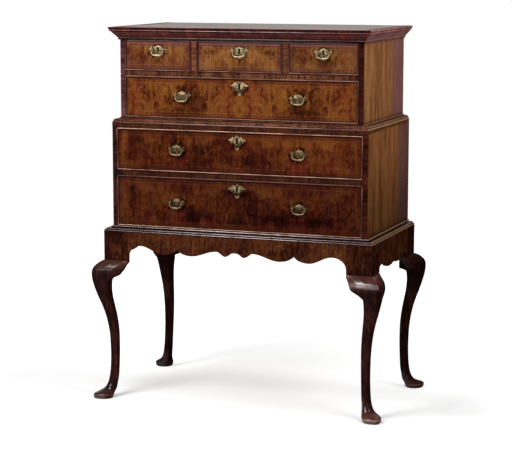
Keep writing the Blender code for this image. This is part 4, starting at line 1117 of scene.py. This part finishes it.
def plate_mesh(name, half, key_up):
    """A cast plate with softened edges, its face towards -Y, made round its own middle."""
    outlines = [both_halves(half)]
    if key_up is not None:
        outlines.append(keyhole_outline(key_up)[::-1])
    curve = poly_curve(name, "2D", [[((a, b, 0.0), 1.0) for a, b in outline] for outline in outlines], True)
    curve.fill_mode = "BOTH"
    curve.extrude = PLATE_T / 2 - PLATE_EDGE
    curve.bevel_depth = PLATE_EDGE
    curve.bevel_resolution = 2
    curve.offset = -PLATE_EDGE
    bm = bmesh.new()
    bm.from_mesh(baked(held(name, curve)))
    bmesh.ops.remove_doubles(bm, verts=bm.verts, dist=0.00001)
    turn = Matrix(((1, 0, 0, 0), (0, 0, -1, 0), (0, 1, 0, 0), (0, 0, 0, 1)))
    bmesh.ops.transform(bm, matrix=turn @ Matrix.Translation((0, 0, -PLATE_T / 2)), verts=bm.verts)
    return bm


def add_post(bm, x):
    """A baluster post: foot ring, hollow neck and a round knob with a small button."""
    profile = [(0.0042, 0.0004), (0.0042, -0.0008), (0.0038, -0.0014), (0.0027, -0.0019),
               (0.0024, -0.0030), (0.0026, -0.0042)]
    for i in range(1, 12):
        angle = math.pi * (0.16 + 0.80 * i / 12)
        profile.append((POST_R * math.sin(angle), -POST_OUT + POST_R * math.cos(angle)))
    turns = [2 * math.pi * i / POST_SIDES for i in range(POST_SIDES)]
    loft(bm, [[(x + radius * math.cos(turn), -PLATE_T + along, POST_UP + radius * math.sin(turn))
               for turn in turns] for radius, along in profile])


def cast(node, half, key_up, posts, material, body):
    """A plate with its posts, or an escutcheon, where its CAD node is."""
    name = node + "_cast"
    low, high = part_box(node)
    bm = plate_mesh(name, half, key_up)
    for x in posts:
        add_post(bm, x)
    bmesh.ops.translate(bm, vec=((low.x + high.x) / 2, high.y, low.z - half[-1][1]), verts=bm.verts)
    add_piece(name, mesh_of(bm, name, 35), material, body, node)


def bail_tree():
    """Sweeps a round bar along a line whose radius is given at each point."""
    tree = bpy.data.node_groups.new("bail sweep", "GeometryNodeTree")
    for label, kind, default in (("Geometry", "Geometry", None), ("Sides", "Int", 16),
                                 ("Thickness", "Float", 1.0), ("Finish", "Material", None)):
        socket = tree.interface.new_socket(name=label, in_out="INPUT", socket_type="NodeSocket" + kind)
        if default is not None:
            socket.default_value = default
    tree.interface.new_socket(name="Geometry", in_out="OUTPUT", socket_type="NodeSocketGeometry")
    g = Graph(tree)
    given = g.outputs("NodeGroupInput")
    circle = g.made("GeometryNodeCurvePrimitiveCircle", "Curve",
                    {"Resolution": given["Sides"], "Radius": given["Thickness"]})
    sweep = g.node("GeometryNodeCurveToMesh",
                   {"Curve": given["Geometry"], "Profile Curve": circle, "Fill Caps": True})
    if "Scale" in sweep.inputs:
        g.put(sweep.inputs["Scale"], g.made("GeometryNodeInputRadius", 0))
    smooth = g.made("GeometryNodeSetShadeSmooth", 0, {"Geometry": Value(g, sweep.outputs["Mesh"])})
    real = g.made("GeometryNodeRealizeInstances", 0, {"Geometry": smooth})
    paint = g.made("GeometryNodeSetMaterial", "Geometry", {"Geometry": real, "Material": given["Finish"]})
    g.node("NodeGroupOutput", {"Geometry": paint})
    return tree


def bail_line(thickness):
    """Middle line of a bail from one pin round to the other, with its radius at each point."""
    points = [(POST_X + 0.0030, 0.0, PIN_R), (POST_X + POST_R + 0.0006, 0.0, PIN_R),
              (BAIL_HALF - 0.0009, -0.0005, (PIN_R + BOW_END_R) / 2), (BAIL_HALF, -0.0020, BOW_END_R)]
    for i in range(1, BAIL_STEPS + 1):
        angle = math.pi / 2 * i / BAIL_STEPS
        x = BAIL_HALF * math.cos(angle) ** 0.6 if i < BAIL_STEPS else 0.0
        z = -0.0020 - (BAIL_DROP - 0.0020) * math.sin(angle) ** 0.9
        radius = BOW_END_R + (thickness / 2 - BOW_END_R) * math.sin(angle) ** 2
        points.append((x + 0.0008 * math.sin(2 * angle), z, radius))
    return [(-x, z, r) for x, z, r in points] + points[-2::-1]


def bail(node, thickness, tree, material):
    """One bail, swept by Geometry Nodes round the hinge that its body turns on."""
    pivot = next(row["pos_m"] for row in frame["joints"] if row["child"] == node)
    name = node + "_bar"
    line = [((pivot[0] + x, pivot[1], pivot[2] + z), radius) for x, z, radius in bail_line(thickness)]
    holder = held(name, poly_curve(name + "_line", "3D", [line], False))
    step = holder.modifiers.new("sweep", "NODES")
    step.node_group = tree
    values = {"Sides": BAIL_SIDES, "Thickness": 1.0, "Finish": material}
    for item in tree.interface.items_tree:
        if item.item_type == "SOCKET" and item.in_out == "INPUT" and item.name in values:
            step[item.identifier] = values[item.name]
    add_piece(name, baked(holder), material, node, node)


# ---------------------------------------------------------------- sizes and colours for a user

SHADES = ("dark", "mid", "light")
# name, label, dark, middle and light shade
WOODS = (
    ("short", "Small drawers", (0.085, 0.024, 0.009), (0.165, 0.058, 0.017), (0.240, 0.105, 0.030)),
    ("upper", "Upper long drawer", (0.070, 0.0155, 0.006), (0.150, 0.045, 0.0105), (0.215, 0.085, 0.020)),
    ("lower", "Lower drawers", (0.034, 0.0070, 0.0033), (0.080, 0.0190, 0.0055), (0.140, 0.046, 0.0100)),
    ("rail", "Rails", (0.045, 0.013, 0.008), (0.105, 0.034, 0.020), (0.170, 0.068, 0.034)),
    ("stile", "Stiles", (0.024, 0.006, 0.005), (0.060, 0.016, 0.011), (0.110, 0.034, 0.022)),
    ("side", "Sides", (0.110, 0.038, 0.012), (0.190, 0.075, 0.026), (0.290, 0.140, 0.050)),
    ("moulding", "Mouldings", (0.022, 0.005, 0.004), (0.048, 0.0115, 0.009), (0.085, 0.026, 0.018)),
    ("apron", "Stand's rails", (0.020, 0.005, 0.003), (0.058, 0.0155, 0.006), (0.110, 0.040, 0.012)),
    ("leg", "Legs", (0.009, 0.003, 0.003), (0.022, 0.006, 0.005), (0.050, 0.015, 0.010)),
    ("oak", "Oak linings", (0.130, 0.070, 0.032), (0.270, 0.160, 0.078), (0.400, 0.262, 0.140)),
    ("pine", "Pine back boards", (0.100, 0.052, 0.024), (0.215, 0.122, 0.058), (0.330, 0.205, 0.105)),
    ("top", "Top", (0.050, 0.020, 0.010), (0.110, 0.046, 0.022), (0.190, 0.095, 0.050)),
    ("brass", "Brass", (0.120, 0.072, 0.034), (0.400, 0.320, 0.175), (0.820, 0.700, 0.500)),
)
ACCENTS = (
    # Painted light: the sheen and the edge cast, and the crest colours of the beads, mouldings and legs.
    ("sheen", "Lilac bloom along the top of the small drawers", (0.160, 0.060, 0.070)),
    ("bead", "Beads round the drawers", (0.030, 0.010, 0.007)),
    ("bead_crest", "Rubbed crest of the beads", (0.700, 0.410, 0.300)),
    ("strip_dark", "Dark streaks of the sides' rear strip", (0.100, 0.036, 0.030)),
    ("strip_light", "Pale streaks of the sides' rear strip", (0.185, 0.080, 0.070)),
    ("moulding_crest", "Rubbed crests of the mouldings", (0.740, 0.580, 0.570)),
    ("leg_worn", "Rubbed edges of the legs", (0.110, 0.040, 0.026)),
    ("red_wash", "Red cast of parts of the veneer", (0.95, 0.72, 0.85)),
    ("gold_wash", "Golden cast of parts of the veneer", (1.0, 1.10, 0.85)),
    ("rim", "Reddish cast of the veneer near its edges", (0.105, 0.034, 0.026)),
)


def size_prop(name, description, default):
    return bpy.props.FloatProperty(name=name, description=description, default=default, unit="LENGTH",
                                   min=0.0, precision=4)


def colour_prop(name, description, default):
    return bpy.props.FloatVectorProperty(name=name, description=description, default=default, size=3,
                                         subtype="COLOR", min=0.0, max=1.0)


class ChestSizes(bpy.types.PropertyGroup):
    """Sizes that a user may change."""

    crossband: size_prop("Crossband", "Width of the band round each drawer front", 0.0150)
    feather: size_prop("Feather line", "Width of the feather line inside the crossband", 0.0055)
    leaf: size_prop("Veneer leaf", "Width of one mirrored leaf on the long drawers", 0.2350)
    carving: size_prop("Carving", "Cell in which the legs and brackets are melted together", 0.0024)
    bail_thickness: size_prop("Bail thickness", "Diameter of a bail in the middle of its bow", 0.0045)


class ChestColours(bpy.types.PropertyGroup):
    """Colours that a user may change: three shades of each material, and accents."""

    __annotations__ = {
        "%s_%s" % (prefix, shade): colour_prop("%s, %s" % (label, shade), "Shade of the material", colour)
        for prefix, label, *colours in WOODS for shade, colour in zip(SHADES, colours)}
    __annotations__.update({
        key: colour_prop(key.replace("_", " ").capitalize(), label, colour)
        for key, label, colour in ACCENTS})


# ---------------------------------------------------------------- operators

class ChestOperator:
    """What every operator of the chest shares."""

    bl_options = {"REGISTER", "UNDO"}

    def execute(self, context):
        self.make(context.scene.chest_sizes, context.scene.chest_colours)
        return {"FINISHED"}


class CHEST_OT_stand(ChestOperator, bpy.types.Operator):
    """Dress the stand's rails and carve its four legs"""

    bl_idname = "chest.stand"
    bl_label = "Stand and legs"

    def make(self, sizes, looks):
        # The side rails' lower strength is painted shade.
        for node, shift, strength in (("front_apron", 3.1, 1.0), ("left_side_rail", 8.2, 0.6),
                                      ("right_side_rail", 5.4, 0.6)):
            dress(node, apron_finish(looks, node, shift, strength))
        dress("back_rail", plain_wood(looks, "back_rail", "oak"))
        # The back legs' darker, less polished finish is painted shade.
        front_walnut = leg_finish(looks, "leg_walnut_front", 1.20, 1.0)
        back_walnut = leg_finish(looks, "leg_walnut_back", 0.60, 0.35)
        for label, sx, sy, lean in (("front_left", -1, -1, 0.0), ("front_right", 1, -1, 0.0),
                                    ("back_left", -1, 1, LEAN), ("back_right", 1, 1, 0.0)):
            mesh = leg_mesh("carved_leg_" + label, sx, sy, lean, sizes.carving)
            walnut = front_walnut if sy < 0 else back_walnut
            add_piece("carved_leg_" + label, mesh, walnut, "carcase", "leg_" + label)


class CHEST_OT_mouldings(ChestOperator, bpy.types.Operator):
    """Sweep the stand moulding, the waist moulding and the cornice"""

    bl_idname = "chest.mouldings"
    bl_label = "Mouldings"

    def make(self, sizes, looks):
        # node, outline, case; then shift, strength, coat, level and bloom of the sides (painted light on
        # the side faces, the bloom a painted sheen), and lines:
        # height above the base, half width, amount and kind of each; kind dirt is painted shade, crest and
        # side are painted highlights, warm a warmer colour
        runs = (
            ("stand_moulding", stand_outline, LOWER_HIGH.x, LOWER_FRONT,
             1.7, 0.7, 0.35, (2.3, 1.8, 1.55), (0.64, TAN_SIDE_SHEEN),
             ((0.0010, 0.0014, 0.9, "dirt"), (0.0040, 0.0007, 0.80, "crest"),
              (0.0070, 0.0014, 0.97, "dirt"), (0.0104, 0.0007, 0.50, "crest"),
              (0.0144, 0.0020, 0.97, "dirt"), (0.0184, 0.0008, 0.98, "crest"))),
            ("waist_moulding", waist_outline, UPPER_HIGH.x, UPPER_FRONT,
             4.3, (1.75, 2.0, 1.4), 0.06, (1.5, 1.5, 1.7), (0.45, TAN_SIDE_SHEEN),
             ((0.0004, 0.0007, 0.8, "dirt"), (0.0018, 0.0008, 0.55, "crest"),
              (0.0020, 0.0012, 0.9, "side"), (0.0056, 0.0006, 0.4, "dirt"),
              (0.0152, 0.0008, 0.5, "dirt"), (0.0168, 0.0010, 0.5, "side"))),
            ("cornice", cornice_outline, UPPER_HIGH.x, UPPER_FRONT,
             6.9, (2.0, 1.22, 1.28), 0.16, (3.0, 3.5, 4.0), (0.60, PINK_SIDE_SHEEN),
             ((0.0030, 0.0034, 0.96, "dirt"), (0.0082, 0.0007, 0.55, "crest"),
              (0.0130, 0.0026, 0.60, "dirt"), (0.0235, 0.0075, 0.40, "warm"),
              (0.0320, 0.0018, 0.97, "dirt"), (0.0368, 0.0012, 0.32, "crest"),
              (0.0430, 0.0028, 0.75, "dirt"), (0.0462, 0.0010, 0.60, "side"))),
        )
        for node, outline, half_width, front, *look in runs:
            finish = moulding_finish(looks, node, *look)
            mesh = swept(node, outline, half_width, front)
            if node == "stand_moulding":
                bm = bmesh.new()
                bm.from_mesh(mesh)
                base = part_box(node)[0].z
                reach = half_width - 0.026
                add_box(bm, (-reach, BACK - 0.050, base), (reach, BACK, base + 0.006))
                bm.to_mesh(mesh)
                bm.free()
            add_piece(node + "_run", mesh, finish, "carcase", node)


class CHEST_OT_carcase(ChestOperator, bpy.types.Operator):
    """Veneer the sides, rails and tops and finish the plain boards"""

    bl_idname = "chest.carcase"
    bl_label = "Carcase"

    def make(self, sizes, looks):
        # case, front, half width, levels of the sides and rails, stiles on the left and right; the lower
        # case's lower levels are partly painted shade, and the upper left stile's high level is a painted
        # lilac sheen
        cases = (
            ("lower", LOWER_FRONT, LOWER_HIGH.x, (0.78, 0.72, 0.68), (0.62, 0.46, 0.28),
             (0.46, 0.42, 0.50), (0.66, 0.44, 0.32)),
            ("upper", UPPER_FRONT, UPPER_HIGH.x, (1.24, 1.25, 1.38), (1.60, 1.58, 1.30),
             (1.3, 1.5, 2.3), (0.48, 0.36, 0.42)),
        )
        for case, front, half_width, side_level, rail_level, left, right in cases:
            for hand, sign, stile in (("left", -1, left), ("right", 1, right)):
                node = case + "_side_" + hand
                dress(node, side_finish(looks, node, front, half_width, sign, side_level, stile))
            for part, shift in (("_bottom", 11.3), ("_divider", 7.7)):
                dress(case + part, rail_finish(looks, case + part, front, shift, rail_level))
            dress(case + "_back", plain_wood(looks, case + "_back", "pine", "z", 0.9))
        dress("lower_top", rail_finish(looks, "lower_top", LOWER_FRONT, 2.9, (0.62, 0.44, 0.24),
                                       LOWER_HIGH.x))
        dress("upper_top", top_finish(looks, "upper_top"))
        for node, shift, strength in (("partition_left", 21.0, 1.6), ("partition_right", 23.0, 1.1)):
            dress(node, partition_finish(looks, node, shift, strength))


class CHEST_OT_drawers(ChestOperator, bpy.types.Operator):
    """Veneer the six drawer fronts and finish their boxes"""

    bl_idname = "chest.drawers"
    bl_label = "Drawers"

    def make(self, sizes, looks):
        # wood, shift, figure and strength of each front, and its marks: place across and up from the
        # middle, half width and half height in millimetres, and how much darker in hundredths
        plans = (
            ("short", (4.0, 0.0, 1.0), 1.0, 0.88, ((-90, 10, 50, 40, 13), (70, -5, 60, 40, -10))),
            ("short", (5.3, 0.0, 2.0), 1.1, 0.90, ((20, -45, 30, 50, 12), (125, 20, 20, 60, 12))),
            ("short", (7.1, 0.0, 3.0), 1.1, 0.74, ((10, -18, 40, 40, 26), (-90, 20, 40, 50, 23))),
            ("upper", (9.7, 0.0, 4.0), 1.0, 0.94,
             ((-199, 27, 55, 36, 34), (-171, -20, 48, 40, 25), (-397, -11, 85, 50, 5),
              (-74, -2, 60, 45, -3), (95, 13, 100, 50, -5), (238, 27, 58, 50, 20),
              (238, -37, 50, 20, 18), (385, 11, 50, 50, 5), (-282, -2, 30, 28, 20),
              (294, 0, 30, 75, 22))),
            ("lower", (12.9, 0.0, 5.0), 0.85, 0.98,
             ((-300, 0, 220, 120, 9), (-345, 24, 60, 35, -7), (-305, -28, 45, 30, -6),
              (-269, 34, 30, 50, 10), (-189, -29, 100, 75, 13), (-58, -29, 60, 60, 6),
              (77, -35, 60, 55, 17), (88, 45, 80, 32, -9), (216, 52, 80, 30, -8),
              (363, -18, 100, 50, -10), (249, -38, 60, 40, 5), (-262, 47, 45, 26, 14),
              (375, 48, 85, 30, -22), (55, -49, 35, 26, 14), (55, 48, 28, 26, -16),
              (-452, 0, 16, 120, -18))),
            ("lower", (15.1, 0.0, 6.0), 0.85, (0.65, 0.61, 0.80),
             ((-380, 0, 160, 120, -6), (-347, 60, 50, 22, -10), (-150, 45, 70, 40, -5),
              (-207, 26, 35, 75, 20), (32, 16, 70, 50, 14), (238, 47, 60, 70, 12),
              (150, 48, 50, 40, -5), (246, -17, 250, 45, 12), (-148, -44, 100, 30, 10),
              (200, -60, 270, 36, 20), (-190, -58, 45, 30, 16), (127, 58, 50, 26, -16),
              (-242, 58, 30, 26, 14), (-452, 0, 16, 120, -14), (-420, 0, 14, 120, 16))),
        )
        for drawer, plan in zip(DRAWERS, plans):
            dress(drawer + "_front", veneer_finish(looks, sizes, drawer, *plan))
            dress(drawer + "_box", plain_wood(looks, drawer + "_box", "oak", "box"))


class CHEST_OT_beads(ChestOperator, bpy.types.Operator):
    """Run a cock-bead round the six drawer openings"""

    bl_idname = "chest.beads"
    bl_label = "Beads"

    def make(self, sizes, looks):
        bm = bmesh.new()
        for drawer in DRAWERS:
            add_bead(bm, drawer)
        add_piece("cock_beads", mesh_of(bm, "cock_beads", 40), bead_finish(looks), "carcase",
                  slot="upper_divider")


class CHEST_OT_brasses(ChestOperator, bpy.types.Operator):
    """Make the backplates, bails and escutcheons"""

    bl_idname = "chest.brasses"
    bl_label = "Brasses"

    def make(self, sizes, looks):
        tree = bail_tree()
        # Brass darker on the lower tiers is painted shade.
        rings = {tier: brass_finish(looks, "bail_brass_" + tier, painted_dim)
                 for tier, painted_dim in (("short", -0.22), ("upper", -0.14), ("middle", -0.02), ("lower", 0.02))}

        def handle(tier, plate, hanging, body, painted_dim, key_up):
            finish = brass_finish(looks, plate, painted_dim, "plate")
            cast(plate, PLATE_HALF, key_up, (-POST_X, POST_X), finish, body)
            bail(hanging, sizes.bail_thickness, tree, rings[tier])

        for label in ("left", "centre", "right"):
            short = "short_" + label
            handle("short", short + "_plate", short + "_bail", "short_drawer_" + label, 0.08, KEY_UP)
        for tier, painted_dim in (("upper", 0.16), ("middle", 0.24), ("lower", 0.30)):
            long = "long_" + tier
            for side in ("_left", "_right"):
                handle(tier, long + "_plate" + side, long + "_bail" + side, long + "_drawer", painted_dim, None)
            node = long + "_escutcheon"
            finish = brass_finish(looks, node, painted_dim - 0.06, "scutcheon")
            cast(node, SCUTCHEON_HALF, SCUTCHEON_KEY_UP, (), finish, long + "_drawer")


class CHEST_OT_stage(ChestOperator, bpy.types.Operator):
    """Lay the floor and set the lamps, the world and the camera"""

    bl_idname = "chest.stage"
    bl_label = "Stage"

    def make(self, sizes, looks):
        lay_floor()
        set_world()
        set_lamps()
        set_camera()


OPERATORS = (CHEST_OT_stand, CHEST_OT_mouldings, CHEST_OT_carcase, CHEST_OT_beads, CHEST_OT_drawers,
             CHEST_OT_brasses, CHEST_OT_stage)


class CHEST_PT_panel(bpy.types.Panel):
    """The chest's operators, sizes and colours"""

    bl_idname = "CHEST_PT_panel"
    bl_label = "Chest on stand"
    bl_space_type = "VIEW_3D"
    bl_region_type = "UI"
    bl_category = "Chest"

    def draw(self, context):
        for kind in OPERATORS:
            self.layout.operator(kind.bl_idname)
        for group in (context.scene.chest_sizes, context.scene.chest_colours):
            for label in group.__annotations__:
                self.layout.prop(group, label)


# ---------------------------------------------------------------- stage

FLOOR_REACH = 4.2
FLOOR_NEAR, FLOOR_BEHIND, FLOOR_FAR = 0.24, 0.60, 0.75
ROOM_LEVEL = 0.42
BEHIND_LEFT, BEHIND_RIGHT, AROUND = 0.68, 0.45, 0.05
# name, place, what it is turned to, width, height and power
LAMPS = (
    ("key", (-0.95, -1.9, 3.1), (0.0, -0.1, 0.9), 1.2, 0.8, 62.0),
    ("right_fill", (2.0, -0.9, 2.4), (0.45, 0.0, 1.25), 1.0, 1.0, 26.0),
    ("front_fill", (-1.9, -4.0, 2.6), (0.0, 0.0, 0.8), 1.6, 1.2, 60.0),
)


def lay_floor():
    """A pale round floor that stays white in the light and keeps the chest's shadow near its front, with a
    painted glow that lightens the shadow behind the chest and far off.
    """
    bm = bmesh.new()
    bmesh.ops.create_circle(bm, cap_ends=True, radius=FLOOR_REACH, segments=96)
    floor = bpy.data.objects.new("floor", mesh_of(bm, "floor", smooth=False))
    bpy.context.scene.collection.objects.link(floor)
    f = Finish(None, "floor")
    path = f.g.outputs("ShaderNodeLightPath")
    seen = path["Is Camera Ray"].most(path["Is Glossy Ray"], path["Is Transmission Ray"])
    # Painted light: the glow is low near the chest, higher behind it and highest far off.
    level = f.g.mix(f.y.band(-0.10, 0.45), FLOOR_NEAR, FLOOR_BEHIND)
    level = f.g.mix(f.g.length(f.place).band(0.9, 2.2), level, FLOOR_FAR)
    glow = f.g.tint(seen, ZERO, f.g.join(level, level, level))
    floor.data.materials.append(f.set(Base_Color=(0.80, 0.80, 0.80), Roughness=0.9, Specular_IOR_Level=0.1,
                                      Emission_Strength=1.0, Emission_Color=glow))


def set_world():
    """White behind the chest for the camera and in reflections, a darker room in front of it."""
    world = bpy.data.worlds.new("studio")
    world.use_nodes = True
    bpy.context.scene.world = world
    g = Graph(world.node_tree)
    x, y, _ = g.made("ShaderNodeTexCoord", "Generated").split()
    behind = y.band(0.30, 0.80) * g.mix(x.band(-0.10, 0.30), BEHIND_LEFT, BEHIND_RIGHT) + AROUND
    path = g.outputs("ShaderNodeLightPath")
    mirror = path["Is Glossy Ray"].most(path["Is Transmission Ray"])
    level = g.mix(path["Is Camera Ray"], g.mix(mirror, ROOM_LEVEL, behind), 1.0)
    background = world.node_tree.nodes["Background"]
    g.put(background.inputs["Color"], g.join(level, level, level))
    background.inputs["Strength"].default_value = 1.0


def set_lamps():
    for name, place, target, width, height, power in LAMPS:
        light = bpy.data.lights.new(name, "AREA")
        light.shape = "RECTANGLE"
        light.size = width
        light.size_y = height
        light.energy = power
        lamp = bpy.data.objects.new(name, light)
        bpy.context.scene.collection.objects.link(lamp)
        lamp.location = place
        lamp.rotation_euler = (Vector(target) - Vector(place)).to_track_quat("-Z", "Y").to_euler()


def set_camera():
    lens = bpy.data.cameras.new("camera")
    lens.lens = 123.41
    lens.sensor_width = 36.0
    lens.clip_end = 200.0
    camera = bpy.data.objects.new("camera", lens)
    bpy.context.scene.collection.objects.link(camera)
    camera.location = (2.3135, -6.2493, 1.6578)
    camera.rotation_euler = (1.4203, 0.0, 0.3575)
    bpy.context.scene.camera = camera
    bpy.context.scene.view_settings.view_transform = "Standard"


# ---------------------------------------------------------------- run

CLASSES = (ChestSizes, ChestColours, *OPERATORS, CHEST_PT_panel)


def register():
    for kind in CLASSES:
        bpy.utils.register_class(kind)
    bpy.types.Scene.chest_sizes = bpy.props.PointerProperty(type=ChestSizes)
    bpy.types.Scene.chest_colours = bpy.props.PointerProperty(type=ChestColours)


def unregister():
    del bpy.types.Scene.chest_colours
    del bpy.types.Scene.chest_sizes
    for kind in reversed(CLASSES):
        bpy.utils.unregister_class(kind)


def main():
    register()
    for kind in OPERATORS:
        group, label = kind.bl_idname.split(".")
        getattr(getattr(bpy.ops, group), label)()


if __name__ == "__main__":
    main()
